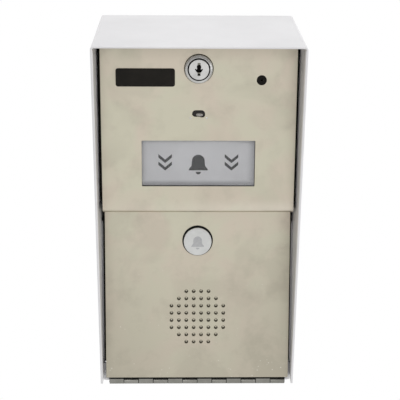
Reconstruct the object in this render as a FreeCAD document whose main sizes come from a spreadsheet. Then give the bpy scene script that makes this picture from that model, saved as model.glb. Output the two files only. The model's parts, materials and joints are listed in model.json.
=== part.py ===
import FreeCAD, Part
import math
import os
import re

import Sketcher

# Hooded call station for a wall. X runs to the right, Y into the wall, Z up.
# The origin is the centre of the wall bolts, on the back face.
# Sizes are in millimetres, leans in degrees.
SIZES = {
    # hood: one folded sheet, open in front and below
    "hood_width": 165.1,
    "hood_height": 294.0,
    "hood_depth": 117.0,
    "hood_sheet": 1.5,
    "hood_bend": 2.6,
    "hood_edge_round": 0.55,
    # back pan, welded inside the hood
    "pan_sheet": 1.5,
    "pan_gap": 0.1,
    "pan_drop": 5.5,
    "pan_flange": 12.0,
    "pan_bend": 1.0,
    "lip_height": 16.5,
    "clip_width": 4.8,
    "clip_height": 1.8,
    "clip_start": 3.9,
    "bolt_span_across": 114.3,
    "bolt_span_up": 228.6,
    "bolt_hole_radius": 3.4,
    "cable_hole_radius": 11.0,
    "cable_hole_rise": 84.0,
    # face plate: one sheet, bent twice
    "plate_sheet": 1.5,
    "plate_side_gap": 2.55,
    "plate_top_gap": 6.0,
    "plate_shift": 0.3,
    "plate_bend": 2.6,
    "low_edge_back": 7.6,
    "low_edge_rise": 1.5,
    "lower_angle": 13.74,
    "upper_bend_back": 21.01,
    "bend_above_middle": 2.9,
    "upper_angle": 6.62,
    # piano hinge
    "hinge_radius": 2.4,
    "hinge_leaf_gauge": 1.0,
    "hinge_leaf_height": 16.0,
    "hinge_drop": 4.33,
    "hinge_end_gap": 2.3,
    "knuckle_count": 12,
    "knuckle_gap": 0.3,
    "knuckle_relief": 0.4,
    "hinge_pin_radius": 1.3,
    "pin_clearance": 0.06,
    "pin_seat": 0.02,
    # door stops and their seals
    "stop_width": 10.5,
    "stop_depth": 14.0,
    "stop_gauge": 1.5,
    "seal_thickness": 3.0,
    "seal_gap": 0.3,
    "upper_stop_start": 9.0,
    "upper_stop_end_gap": 10.4,
    "lower_stop_start": 16.0,
    "lower_stop_end_gap": 16.4,
    # sign window
    "window_side_margin": 32.45,
    "window_height": 38.1,
    "window_up": 41.81,
    "window_corner": 0.8,
    "lens_margin": 4.0,
    "lens_gauge": 2.0,
    "card_gauge": 0.5,
    "tray_wall": 1.6,
    "tray_depth": 16.0,
    "tray_ear": 12.0,
    "tray_play": 0.3,
    "light_board_margin": 2.05,
    "light_board_height": 16.0,
    "light_board_gauge": 1.2,
    "light_count": 6,
    # small slot with its lamp
    "slot_width": 10.4,
    "slot_height": 6.3,
    "slot_below_middle": 1.48,
    "slot_top_round": 2.9,
    "slot_low_round": 1.1,
    "slot_lens_gauge": 2.0,
    "lamp_holder_radius": 7.0,
    "lamp_holder_length": 9.0,
    # microphone
    "sound_hole_radius": 4.05,
    "microphone_side_margin": 28.3,
    "microphone_drop": 28.92,
    "boot_radius": 8.0,
    "boot_length": 8.0,
    "boot_recess": 0.4,
    "boot_fit": 0.05,
    "capsule_radius": 4.85,
    "capsule_length": 5.0,
    "sound_bore_radius": 0.8,
    # name plate, left bare
    "badge_width": 47.2,
    "badge_height": 14.5,
    "badge_corner": 2.0,
    "badge_gauge": 0.9,
    "badge_side_margin": 35.9,
    "badge_drop": 26.92,
    # cam lock
    "lock_drop": 19.92,
    "lock_thread_radius": 9.5,
    "lock_hole_play": 0.15,
    "lock_collar_radius": 11.7,
    "lock_collar_rim": 3.3,
    "lock_nose_radius": 9.3,
    "lock_nose_out": 5.2,
    "lock_recess_radius": 8.45,
    "lock_recess_floor": 4.0,
    "lock_cap_radius": 8.1,
    "lock_cap_out": 5.7,
    "lock_cap_gap": 0.3,
    "lock_plug_radius": 6.0,
    "plug_clearance": 0.06,
    "lock_body_end": 9.5,
    "tang_across": 6.0,
    "tang_play": 0.1,
    "key_slot_width": 2.2,
    "key_slot_height": 9.8,
    "key_depth": 3.2,
    "cam_gauge": 2.0,
    "cam_width": 10.0,
    "cam_reach": 20.0,
    "cam_play": 0.3,
    "lock_nut_across": 24.0,
    "lock_nut_gauge": 3.5,
    "lock_screw_radius": 4.6,
    "lock_screw_head": 3.0,
    # strike for the cam, under the hood's top
    "strike_gauge": 1.5,
    "strike_width": 40.0,
    "strike_foot": 18.0,
    "strike_drop": 11.0,
    "strike_gap": 0.8,
    # call button
    "button_drop": 31.54,
    "button_hole_radius": 13.0,
    "button_radius": 11.75,
    "button_face_out": 4.9,
    "button_face_gauge": 1.4,
    "button_face_round": 0.5,
    "button_skirt_inset": 0.25,
    "button_head_length": 12.5,
    "button_travel": 2.5,
    "stem_radius": 4.0,
    "stem_end": 20.0,
    "guide_gap": 0.3,
    "guide_radius": 14.5,
    "guide_flange_radius": 18.0,
    "guide_flange_gauge": 2.0,
    "guide_web_front": 14.6,
    "guide_web_gauge": 1.6,
    "stem_gap": 0.3,
    "clip_ring_radius": 6.5,
    "clip_ring_gauge": 1.0,
    "clip_ring_gap": 0.3,
    "spring_radius": 6.4,
    "spring_wire": 1.1,
    "spring_seat": 0.1,
    # button's bracket and switch
    "bracket_gauge": 1.2,
    "bracket_width": 64.0,
    "bracket_height": 38.0,
    "bracket_leg_height": 16.0,
    "bracket_leg_end": 40.0,
    "switch_width": 31.0,
    "switch_height": 14.0,
    "switch_front": 24.0,
    "switch_length": 17.0,
    "switch_pin_radius": 2.0,
    "switch_pin_gap": 0.3,
    "switch_pin_well": 7.0,
    "terminal_length": 7.0,
    "terminal_width": 4.8,
    "terminal_gauge": 0.8,
    "terminal_spacing": 9.0,
    # loudspeaker
    "speaker_below_middle": 2.49,
    "sound_hole_pitch": 6.35,
    "grille_hole_radius": 1.6,
    "speaker_radius": 28.5,
    "mesh_gauge": 0.3,
    "speaker_seal_gauge": 1.5,
    "speaker_seal_width": 3.6,
    "speaker_rim_gauge": 1.0,
    "basket_wall": 0.8,
    "basket_throat_radius": 15.5,
    "basket_depth": 12.0,
    "basket_window_width": 9.0,
    "cone_gauge": 0.5,
    "cone_surround": 3.4,
    "cone_depth": 8.0,
    "dust_cap_radius": 7.5,
    "magnet_radius": 16.0,
    "magnet_length": 9.0,
    "speaker_stud_radius": 32.0,
    # weld studs and nuts
    "stud_radius": 1.5,
    "stud_length": 9.0,
    "nut_across": 5.5,
    "nut_gauge": 2.4,
    "washer_radius": 4.6,
    "washer_gauge": 0.8,
    "nut_play": 0.05,
    # circuit board
    "board_margin": 13.5,
    "board_height": 80.0,
    "board_gauge": 1.6,
    "board_inward": 24.0,
    "board_up": 50.61,
    "board_corner": 2.0,
    "board_hole_inset": 5.0,
    "board_hole_radius": 1.7,
    "standoff_across": 6.0,
    "screw_head_radius": 2.9,
    "screw_head_gauge": 2.2,
    "terminal_block_width": 36.0,
    "terminal_block_height": 10.0,
    "terminal_block_depth": 12.0,
    "terminal_ways": 6,
    "relay_width": 19.0,
    "relay_height": 15.5,
    "relay_depth": 15.0,
    "capacitor_radius": 5.0,
    "capacitor_length": 16.0,
    "chip_length": 19.0,
    "chip_width": 6.4,
    "chip_gauge": 3.4,
    "plug_width": 10.0,
    "plug_height": 6.0,
    "plug_depth": 9.0,
    "lead_radius": 1.1,
    "lead_seat": 0.3,
    "lead_loop": 14.0,
    # ground stud and cable bushing on the back wall
    "ground_across": 52.0,
    "ground_rise": 46.0,
    "ground_radius": 2.5,
    "ground_length": 16.0,
    "ground_nut_across": 8.0,
    "ground_nut_gauge": 4.0,
    "bushing_bore": 8.0,
    "bushing_flange_radius": 14.0,
    "bushing_flange_gauge": 2.5,
    "bushing_play": 0.1,
}

# Heights above the hood's feet, and the two panels
MOUNT_RISE = "(hood_height / 2)"
BEND_RISE = "(hood_height / 2 + bend_above_middle)"
TOP_RISE = "(hood_height - plate_top_gap)"
STRIKE_BOTTOM = "(hood_height - strike_drop)"
LOWER = {"back": "low_edge_back", "rise": "low_edge_rise", "lean": "lower_angle"}
UPPER = {"back": "upper_bend_back", "rise": BEND_RISE, "lean": "upper_angle"}

# Distances up along a panel from its lower edge
LOWER_LENGTH = f"(({BEND_RISE} - low_edge_rise) / cos(lower_angle))"
UPPER_LENGTH = f"(({TOP_RISE} - {BEND_RISE}) / cos(upper_angle))"
BUTTON_UP = f"(({BEND_RISE} - low_edge_rise - button_drop) / cos(lower_angle))"
LEAF_TOP = "(hinge_leaf_height - hinge_drop)"
SPEAKER_UP = f"(({BUTTON_UP} - bracket_height / 2 + {LEAF_TOP}) / 2 - speaker_below_middle)"
LOCK_UP = f"({UPPER_LENGTH} - lock_drop)"
BADGE_UP = f"({UPPER_LENGTH} - badge_drop)"
MICROPHONE_UP = f"({UPPER_LENGTH} - microphone_drop)"
WINDOW_TOP = "(window_up + window_height / 2)"
SLOT_UP = f"(({WINDOW_TOP} + {LOCK_UP} - lock_collar_radius) / 2 - slot_below_middle)"

# Widths
PLATE_WIDTH = "(hood_width - 2 * hood_sheet - 2 * plate_side_gap)"
HINGE_LENGTH = f"({PLATE_WIDTH} - 2 * hinge_end_gap)"
KNUCKLE_PITCH = f"({HINGE_LENGTH} / knuckle_count)"
WINDOW_WIDTH = f"({PLATE_WIDTH} - 2 * window_side_margin)"
LIGHT_BOARD_WIDTH = f"({WINDOW_WIDTH} - 2 * light_board_margin)"
LIGHT_PITCH = f"({LIGHT_BOARD_WIDTH} / light_count)"
BOARD_WIDTH = f"({PLATE_WIDTH} - 2 * board_margin)"
MICROPHONE_ACROSS = f"({PLATE_WIDTH} / 2 - microphone_side_margin)"
BADGE_ACROSS = f"(badge_side_margin - {PLATE_WIDTH} / 2)"

# Depths that several pieces share
HINGE_INWARD = "(plate_sheet + hinge_radius)"
LIP_INWARD = "(plate_sheet + 2 * hinge_radius)"
HOOD_INNER = "(hood_width / 2 - hood_sheet)"
PAN_HALF = "(hood_width / 2 - hood_sheet - pan_gap)"
PAN_TOP = "(hood_height - hood_sheet - pan_gap)"
STOP_FACE = "(plate_sheet + seal_gap + seal_thickness)"
CAM_FRONT = "(lock_body_end + cam_play)"
TRAY_FLOOR = "(plate_sheet + tray_depth)"
BOARD_BACK = "(board_inward + board_gauge)"
SPEAKER_FACE = "(plate_sheet + mesh_gauge + speaker_seal_gauge)"

doc = FreeCAD.newDocument("call_station")
sheet = doc.addObject("Spreadsheet::Sheet", "Sizes")
for row, (alias, size) in enumerate(SIZES.items(), start=1):
    sheet.set(f"A{row}", alias)
    sheet.set(f"B{row}", str(size))
    sheet.setAlias(f"B{row}", alias)
doc.recompute()

subparts = []


# Expressions

def bound(text):
    """Return the expression with each size named in the sheet."""
    return re.sub(
        r"[a-z]+(?:_[a-z]+)+",
        lambda word: "Sizes." + word.group(0) if word.group(0) in SIZES else word.group(0),
        text,
    )


def amount(text):
    """Return the expression's value now."""
    return float(sheet.evalExpression(bound(text)))


def bind(thing, path, text):
    """Tie one property to the sheet."""
    thing.setExpression(path, bound(text))


def mirrored(text, side):
    """Return the expression on the right side (1) or the left side (-1)."""
    return f"{side} * ({text})"


# Placing

def put(piece, x, y, z, lean=None):
    """Place a piece by expressions, leaning back by the named angle."""
    angle = -amount(lean) if lean else 0
    piece.Placement = FreeCAD.Placement(
        FreeCAD.Vector(amount(x), amount(y), amount(z)),
        FreeCAD.Rotation(FreeCAD.Vector(1, 0, 0), angle),
    )
    bind(piece, "Placement.Base.x", x)
    bind(piece, "Placement.Base.y", y)
    bind(piece, "Placement.Base.z", z)
    if lean:
        bind(piece, "Placement.Rotation.Angle", f"-{lean}")


def on_box(piece, across="0", back="0", rise="0"):
    """Place a piece by its distance behind the hood's front and above its feet."""
    put(piece, across, f"{back} - hood_depth", f"{rise} - {MOUNT_RISE}")


def on_panel(piece, panel, across="plate_shift", up="0", inward="0"):
    """Place a piece on a panel: x across it, y inward from its face, z up along it."""
    lean = panel["lean"]
    back = f"{panel['back']} + ({up}) * sin({lean}) + ({inward}) * cos({lean})"
    rise = f"{panel['rise']} + ({up}) * cos({lean}) - ({inward}) * sin({lean})"
    put(piece, across, f"{back} - hood_depth", f"{rise} - {MOUNT_RISE}", lean)


def back_at(panel, rise, inward):
    """Return how far back a plane parallel to a panel lies at a height above the feet."""
    lean = panel["lean"]
    return f"({panel['back']} + ({rise} - {panel['rise']}) * tan({lean}) + ({inward}) / cos({lean}))"


def finish(piece, label):
    """Keep a piece as a sub-part under its own name."""
    piece.Label = label
    subparts.append(piece)
    return piece


# Sketches

def new_body(label):
    """Start a solid body with a name."""
    return finish(doc.addObject("PartDesign::Body", label), label)


def origin_plane(body, role):
    """Find one of a body's own origin planes."""
    return next(item for item in body.Origin.OriginFeatures if item.Role == role)


def new_sketch(body, role, lift=None):
    """Start a sketch on an origin plane, lifted along the plane's normal."""
    sketch = body.newObject("Sketcher::SketchObject", body.Name + "_sketch")
    sketch.AttachmentSupport = [(origin_plane(body, role), "")]
    sketch.MapMode = "FlatFace"
    if lift:
        bind(sketch, "AttachmentOffset.Base.z", lift)
    return sketch


def panel_sketch(body, panel, inward="0"):
    """Start a sketch in a panel's plane, for a body that is placed by on_box."""
    sketch = new_sketch(body, "XZ_Plane")
    lean = panel["lean"]
    sketch.AttachmentOffset = FreeCAD.Placement(
        FreeCAD.Vector(0, 0, 0), FreeCAD.Rotation(FreeCAD.Vector(1, 0, 0), -amount(lean))
    )
    bind(sketch, "AttachmentOffset.Rotation.Angle", f"-{lean}")
    bind(sketch, "AttachmentOffset.Base.y", f"{panel['rise']} - ({inward}) * sin({lean})")
    bind(sketch, "AttachmentOffset.Base.z", f"-({panel['back']} + ({inward}) * cos({lean}))")
    return sketch


def pin_point(sketch, shape, end, x, y):
    """Hold one point of a sketch at its place."""
    for kind, text in (("DistanceX", x), ("DistanceY", y)):
        rule = sketch.addConstraint(Sketcher.Constraint(kind, -1, 1, shape, end, amount(text)))
        bind(sketch, f"Constraints[{rule}]", text)


def draw_outline(sketch, points):
    """Draw a closed outline of straight lines through the points."""
    spots = [FreeCAD.Vector(amount(x), amount(y), 0) for x, y in points]
    count = len(spots)
    first = sketch.GeometryCount
    for step in range(count):
        sketch.addGeometry(Part.LineSegment(spots[step], spots[(step + 1) % count]), False)
    for step in range(count):
        following = first + (step + 1) % count
        sketch.addConstraint(Sketcher.Constraint("Coincident", first + step, 2, following, 1))
    for step, (x, y) in enumerate(points):
        pin_point(sketch, first + step, 1, x, y)


def draw_box(sketch, left, low, right, high):
    """Draw a rectangle between two corners."""
    draw_outline(sketch, [(left, low), (right, low), (right, high), (left, high)])


def draw_centred_box(sketch, width, height, x="0", y="0"):
    """Draw a rectangle about its centre."""
    draw_box(
        sketch,
        f"{x} - ({width}) / 2",
        f"{y} - ({height}) / 2",
        f"{x} + ({width}) / 2",
        f"{y} + ({height}) / 2",
    )


def draw_circle(sketch, radius, x="0", y="0"):
    """Draw a circle."""
    centre = FreeCAD.Vector(amount(x), amount(y), 0)
    circle = Part.Circle(centre, FreeCAD.Vector(0, 0, 1), amount(radius))
    shape = sketch.addGeometry(circle, False)
    rule = sketch.addConstraint(Sketcher.Constraint("Radius", shape, amount(radius)))
    bind(sketch, f"Constraints[{rule}]", radius)
    pin_point(sketch, shape, 3, x, y)


# Features

def pad(body, sketch, length, inward=False, both_ways=False):
    """Thicken a sketch. Inward turns the pad against the sketch's normal."""
    feature = body.newObject("PartDesign::Pad", body.Name + "_pad")
    feature.Profile = sketch
    bind(feature, "Length", length)
    feature.Reversed = inward
    if both_ways:
        feature.SideType = "Symmetric"
    doc.recompute()
    return feature


def cut(body, sketch, length, both_ways=False):
    """Cut a sketch out of a body against its normal, and check that something went."""
    before = body.Shape.Volume
    feature = body.newObject("PartDesign::Pocket", body.Name + "_pocket")
    feature.Profile = sketch
    bind(feature, "Length", length)
    if both_ways:
        feature.SideType = "Symmetric"
    doc.recompute()
    if body.Shape.Volume >= before:
        raise RuntimeError(f"{feature.Name} cuts nothing")
    return feature


def turn(body, sketch):
    """Turn a sketch of radius and inward distance about the inward axis."""
    feature = body.newObject("PartDesign::Revolution", body.Name + "_turn")
    feature.Profile = sketch
    feature.ReferenceAxis = (sketch, ["V_Axis"])
    feature.Angle = 360
    doc.recompute()
    return feature


def round_edges(body, radius, wanted):
    """Fillet the edges that the test wants."""
    base = body.Tip
    names = [f"Edge{n}" for n, edge in enumerate(base.Shape.Edges, start=1) if wanted(edge)]
    feature = body.newObject("PartDesign::Fillet", body.Name + "_round")
    feature.Base = (base, names)
    bind(feature, "Radius", radius)
    doc.recompute()
    return feature


def repeat_across(body, feature, sketch, length, count):
    """Repeat a feature in a row along X."""
    pattern = body.newObject("PartDesign::LinearPattern", body.Name + "_row")
    pattern.Originals = [feature]
    pattern.Direction = (sketch, ["H_Axis"])
    bind(pattern, "Length", length)
    bind(pattern, "Occurrences", count)
    body.Tip = pattern
    doc.recompute()
    return pattern


def near(first, second):
    """Tell whether two sizes agree."""
    return abs(first - second) < 0.01


def is_straight(edge, direction):
    """Tell whether an edge is a line along a direction."""
    if not isinstance(edge.Curve, Part.Line):
        return False
    along = edge.Curve.Direction.cross(direction).Length
    return along < 0.001


def middle(edge):
    """Return the middle point of an edge."""
    return edge.valueAt((edge.FirstParameter + edge.LastParameter) / 2)


def edges_at(direction, spots, flat=(0, 1)):
    """Build a test for straight edges along a direction that pass one of the spots."""
    places = [(amount(a), amount(b)) for a, b in spots]

    def wanted(edge):
        if not is_straight(edge, direction):
            return False
        point = middle(edge)
        first = point[flat[0]]
        second = point[flat[1]]
        return any(near(first, a) and near(second, b) for a, b in places)

    return wanted


X_WAY = FreeCAD.Vector(1, 0, 0)
Y_WAY = FreeCAD.Vector(0, 1, 0)
Z_WAY = FreeCAD.Vector(0, 0, 1)


# Simple solids that point inward, for studs, nuts and other round stock

def place_along_y(solid, x, y, z):
    """Lay a primitive along +Y."""
    solid.Placement = FreeCAD.Placement(
        FreeCAD.Vector(amount(x), amount(y), amount(z)), FreeCAD.Rotation(X_WAY, -90)
    )
    bind(solid, "Placement.Base.x", x)
    bind(solid, "Placement.Base.y", y)
    bind(solid, "Placement.Base.z", z)
    return solid


def rod(radius, length, x="0", y="0", z="0"):
    """Make a round rod."""
    solid = doc.addObject("Part::Cylinder", "rod")
    bind(solid, "Radius", radius)
    bind(solid, "Height", length)
    return place_along_y(solid, x, y, z)


def hexagon(across, length, x="0", y="0", z="0"):
    """Make a six-sided bar from its width across the flats."""
    solid = doc.addObject("Part::Prism", "hexagon")
    solid.Polygon = 6
    bind(solid, "Circumradius", f"({across}) / 2 / cos(30)")
    bind(solid, "Height", length)
    return place_along_y(solid, x, y, z)


def block(width, length, height, x="0", y="0", z="0"):
    """Make a block centred across and in height, from y inward."""
    solid = doc.addObject("Part::Box", "block")
    bind(solid, "Length", width)
    bind(solid, "Width", length)
    bind(solid, "Height", height)
    bind(solid, "Placement.Base.x", f"{x} - ({width}) / 2")
    bind(solid, "Placement.Base.y", y)
    bind(solid, "Placement.Base.z", f"{z} - ({height}) / 2")
    return solid


def joined(*solids):
    """Fuse solids into one."""
    fuse = doc.addObject("Part::MultiFuse", "joined")
    fuse.Shapes = list(solids)
    return fuse


def bored(solid, *tools):
    """Cut tools out of a solid."""
    for tool in tools:
        result = doc.addObject("Part::Cut", "bored")
        result.Base = solid
        result.Tool = tool
        solid = result
    return solid


def group(label, solids):
    """Keep several separate solids as one sub-part."""
    bundle = doc.addObject("Part::Compound", label)
    bundle.Links = solids
    return finish(bundle, label)


# Enclosure

def make_hood():
    """Fold the hood: two sides and a top."""
    body = new_body("hood_shell")
    sketch = new_sketch(body, "XZ_Plane")
    half = "hood_width / 2"
    inner = "hood_width / 2 - hood_sheet"
    ceiling = "hood_height - hood_sheet"
    draw_outline(sketch, [
        (f"-({half})", "0"), (f"-({inner})", "0"),
        (f"-({inner})", ceiling), (inner, ceiling),
        (inner, "0"), (half, "0"),
        (half, "hood_height"), (f"-({half})", "hood_height"),
    ])
    pad(body, sketch, "hood_depth", inward=True)
    outer = [(half, "hood_height"), (f"-({half})", "hood_height")]
    round_edges(body, "hood_bend", edges_at(Y_WAY, outer, (0, 2)))
    bends = [(inner, ceiling), (f"-({inner})", ceiling)]
    round_edges(body, "hood_bend - hood_sheet", edges_at(Y_WAY, bends, (0, 2)))

    def on_front(edge):
        return all(near(vertex.Y, 0) for vertex in edge.Vertexes) and not at_feet(edge)

    def at_feet(edge):
        return all(near(vertex.Z, 0) for vertex in edge.Vertexes)

    round_edges(body, "hood_edge_round", on_front)
    on_box(body)


def make_back_pan():
    """Bend the pan that closes the hood behind and below, with a lip for the hinge."""
    body = new_body("back_pan")
    floor = "-pan_drop"
    floor_top = "pan_sheet - pan_drop"
    lip_end = "lip_height - pan_drop"
    profile = new_sketch(body, "YZ_Plane")
    draw_outline(profile, [
        ("hood_depth - pan_flange", PAN_TOP),
        ("hood_depth", PAN_TOP),
        ("hood_depth", floor),
        (back_at(LOWER, floor, LIP_INWARD), floor),
        (back_at(LOWER, lip_end, LIP_INWARD), lip_end),
        (back_at(LOWER, lip_end, LIP_INWARD + " + pan_sheet"), lip_end),
        (back_at(LOWER, floor_top, LIP_INWARD + " + pan_sheet"), floor_top),
        ("hood_depth - pan_sheet", floor_top),
        ("hood_depth - pan_sheet", f"{PAN_TOP} - pan_sheet"),
        ("hood_depth - pan_flange", f"{PAN_TOP} - pan_sheet"),
    ])
    pad(body, profile, f"2 * {PAN_HALF}", both_ways=True)
    outer = [
        (back_at(LOWER, floor, LIP_INWARD), floor),
        ("hood_depth", floor),
    ]
    inner = [
        (back_at(LOWER, floor_top, LIP_INWARD + " + pan_sheet"), floor_top),
        ("hood_depth - pan_sheet", floor_top),
    ]
    round_edges(body, "pan_bend + pan_sheet", edges_at(X_WAY, outer, (1, 2)))
    round_edges(body, "pan_bend", edges_at(X_WAY, inner, (1, 2)))

    flanges = new_sketch(body, "XY_Plane", "pan_sheet + pan_bend - pan_drop")
    for side in (-1, 1):
        edges = [mirrored(PAN_HALF, side), mirrored(f"{PAN_HALF} - pan_sheet", side)]
        draw_box(flanges, edges[0], "hood_depth - pan_flange",
                 edges[1], "hood_depth")
    pad(body, flanges, f"{PAN_TOP} - pan_sheet - pan_bend + pan_drop")

    corners = [(PAN_HALF, PAN_TOP), (f"-{PAN_HALF}", PAN_TOP)]
    round_edges(body, "hood_bend - hood_sheet", edges_at(Y_WAY, corners, (0, 2)))

    bolts = new_sketch(body, "XZ_Plane", "-hood_depth")
    for side in (-1, 1):
        for level in (-1, 1):
            draw_circle(bolts, "bolt_hole_radius", f"{side} * bolt_span_across / 2",
                        f"{MOUNT_RISE} + {level} * bolt_span_up / 2")
    draw_circle(bolts, "cable_hole_radius", "0", "cable_hole_rise")
    cut(body, bolts, "4 * pan_sheet", both_ways=True)

    clips = panel_sketch(body, LOWER, LIP_INWARD + " - pan_sheet / 2")
    reach = "(clip_start + 3 * clip_height)"
    for side in (-1, 1):
        draw_outline(clips, [
            (mirrored(f"{PAN_HALF} + pan_sheet", side), "-clip_start"),
            (mirrored(PAN_HALF, side), "-clip_start"),
            (mirrored(f"{PAN_HALF} - clip_width", side), "-clip_start - clip_height"),
            (mirrored(f"{PAN_HALF} - clip_width", side), f"-{reach}"),
            (mirrored(f"{PAN_HALF} + pan_sheet", side), f"-{reach}"),
        ])
    cut(body, clips, "3 * pan_sheet")
    on_box(body)


def make_strike():
    """Bend the strike that hangs from the hood's top in front of the cam."""
    body = new_body("strike_bracket")
    ceiling = "(hood_height - hood_sheet)"
    hang_back = f"{CAM_FRONT} - strike_gap"
    hang_front = f"{CAM_FRONT} - strike_gap - strike_gauge"
    foot_low = f"{ceiling} - strike_gauge"
    sketch = new_sketch(body, "YZ_Plane")
    draw_outline(sketch, [
        (back_at(UPPER, STRIKE_BOTTOM, hang_front), STRIKE_BOTTOM),
        (back_at(UPPER, STRIKE_BOTTOM, hang_back), STRIKE_BOTTOM),
        (back_at(UPPER, foot_low, hang_back), foot_low),
        (back_at(UPPER, foot_low, hang_back + " + strike_foot"), foot_low),
        (back_at(UPPER, foot_low, hang_back + " + strike_foot"), ceiling),
        (back_at(UPPER, foot_low, hang_front), ceiling),
        (back_at(UPPER, foot_low, hang_front), foot_low),
    ])
    pad(body, sketch, "strike_width", both_ways=True)
    on_box(body, "plate_shift")


def make_door_stops():
    """Make the angle strips that the door closes on, and the seals stuck to them."""
    runs = (
        (UPPER, "upper_stop_start", f"{UPPER_LENGTH} - upper_stop_start - upper_stop_end_gap"),
        (LOWER, "lower_stop_start", f"{LOWER_LENGTH} - lower_stop_start - lower_stop_end_gap"),
    )
    angles = []
    seals = []
    for panel, start, length in runs:
        for side in (-1, 1):
            angle = doc.addObject("PartDesign::Body", "stop_angle")
            sketch = new_sketch(angle, "XY_Plane")
            draw_outline(sketch, [
                (mirrored(HOOD_INNER, side), STOP_FACE),
                (mirrored(HOOD_INNER, side), f"{STOP_FACE} + stop_depth"),
                (mirrored(f"{HOOD_INNER} - stop_gauge", side), f"{STOP_FACE} + stop_depth"),
                (mirrored(f"{HOOD_INNER} - stop_gauge", side), f"{STOP_FACE} + stop_gauge"),
                (mirrored(f"{HOOD_INNER} - stop_width", side), f"{STOP_FACE} + stop_gauge"),
                (mirrored(f"{HOOD_INNER} - stop_width", side), STOP_FACE),
            ])
            pad(angle, sketch, length)
            on_panel(angle, panel, "0", start)
            angles.append(angle)

            seal = doc.addObject("Part::Box", "seal_strip")
            bind(seal, "Length", "stop_width - 2 * seal_gap")
            bind(seal, "Width", "seal_thickness")
            bind(seal, "Height", length)
            centre = mirrored(f"{HOOD_INNER} - stop_width / 2", side)
            on_panel(seal, panel, f"{centre} - (stop_width - 2 * seal_gap) / 2", start,
                     "plate_sheet + seal_gap")
            seals.append(seal)
    group("door_stops", angles)
    group("door_seals", seals)


def make_cable_bushing():
    """Turn the bushing that lines the cable hole in the back wall."""
    body = new_body("cable_bushing")
    sketch = new_sketch(body, "XY_Plane")
    wall = "pan_sheet"
    hole = "(cable_hole_radius - bushing_play)"
    draw_outline(sketch, [
        ("bushing_bore", f"-{wall} - bushing_flange_gauge"),
        ("bushing_flange_radius", f"-{wall} - bushing_flange_gauge"),
        ("bushing_flange_radius", f"-{wall}"),
        (hole, f"-{wall}"),
        (hole, "0"),
        ("bushing_bore", "0"),
    ])
    turn(body, sketch)
    round_edges(body, "0.4 * bushing_flange_gauge", ring_edges("bushing_flange_radius"))
    on_box(body, "0", "hood_depth", "cable_hole_rise")


def ring_edges(radius):
    """Build a test for round edges of a radius on the side that faces front."""
    def wanted(edge):
        if not isinstance(edge.Curve, Part.Circle) or not near(edge.Curve.Radius, amount(radius)):
            return False
        return edge.Curve.Center.y < 0 and edge.Curve.Center.y < -amount("pan_sheet") - 0.01
    return wanted


def make_ground_stud():
    """Stand the ground stud on the back wall, with its two nuts."""
    wall_face = "-pan_sheet"
    stud = rod("ground_radius", "ground_length", "0", f"{wall_face} - ground_length")
    finish_on_wall(group("ground_stud", [stud]))
    bore = rod("ground_radius + nut_play", "2 * ground_length", "0", "-2 * ground_length")
    nuts = []
    for place in ("ground_nut_gauge", "(2 * ground_nut_gauge + nut_gauge)"):
        nut = hexagon("ground_nut_across", "ground_nut_gauge", "0", f"{wall_face} - {place}")
        nuts.append(bored(nut, bore))
    finish_on_wall(group("ground_nuts", nuts))


def finish_on_wall(piece):
    """Place a piece at the ground stud's spot."""
    on_box(piece, "ground_across", "hood_depth", "ground_rise")


# Hinge

def make_hinge_leaf(label, side, first_slot, bore):
    """Make one hinge leaf: side -1 lies behind the door, 1 on the pan's lip."""
    body = new_body(label)
    near_face = f"{side} * (hinge_radius - hinge_leaf_gauge)"
    far_face = f"{side} * hinge_radius"
    leaf = new_sketch(body, "YZ_Plane")
    draw_box(leaf, near_face, "0", far_face, "hinge_leaf_height")
    pad(body, leaf, HINGE_LENGTH, both_ways=True)
    barrel = new_sketch(body, "YZ_Plane")
    draw_circle(barrel, "hinge_radius")
    pad(body, barrel, HINGE_LENGTH, both_ways=True)
    hole = new_sketch(body, "YZ_Plane")
    draw_circle(hole, bore)
    cut(body, hole, f"{HINGE_LENGTH} + 2 * knuckle_gap", both_ways=True)

    slot = new_sketch(body, "XZ_Plane")
    start = f"{KNUCKLE_PITCH} * ({first_slot} - knuckle_count / 2)"
    draw_box(slot, f"{start} - knuckle_gap / 2", "-hinge_radius - knuckle_relief",
             f"{start} + {KNUCKLE_PITCH} + knuckle_gap / 2", "hinge_radius + knuckle_relief")
    pocket = cut(body, slot, "4 * hinge_radius", both_ways=True)
    count = "knuckle_count / 2"
    repeat_across(body, pocket, slot, f"2 * {KNUCKLE_PITCH} * ({count} - 1)", count)
    on_panel(body, LOWER, "plate_shift", "-hinge_drop", HINGE_INWARD)


def make_hinge():
    """Make both leaves and the pin that they share."""
    make_hinge_leaf("hinge_door_leaf", -1, "1", "hinge_pin_radius + pin_clearance")
    make_hinge_leaf("hinge_box_leaf", 1, "0", "hinge_pin_radius + pin_seat")
    wire = doc.addObject("Part::Cylinder", "wire")
    bind(wire, "Radius", "hinge_pin_radius")
    bind(wire, "Height", HINGE_LENGTH)
    wire.Placement = FreeCAD.Placement(FreeCAD.Vector(0, 0, 0), FreeCAD.Rotation(Y_WAY, 90))
    bind(wire, "Placement.Base.x", f"-{HINGE_LENGTH} / 2")
    on_panel(group("hinge_pin", [wire]), LOWER, up="-hinge_drop", inward=HINGE_INWARD)


# Face plate

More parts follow.
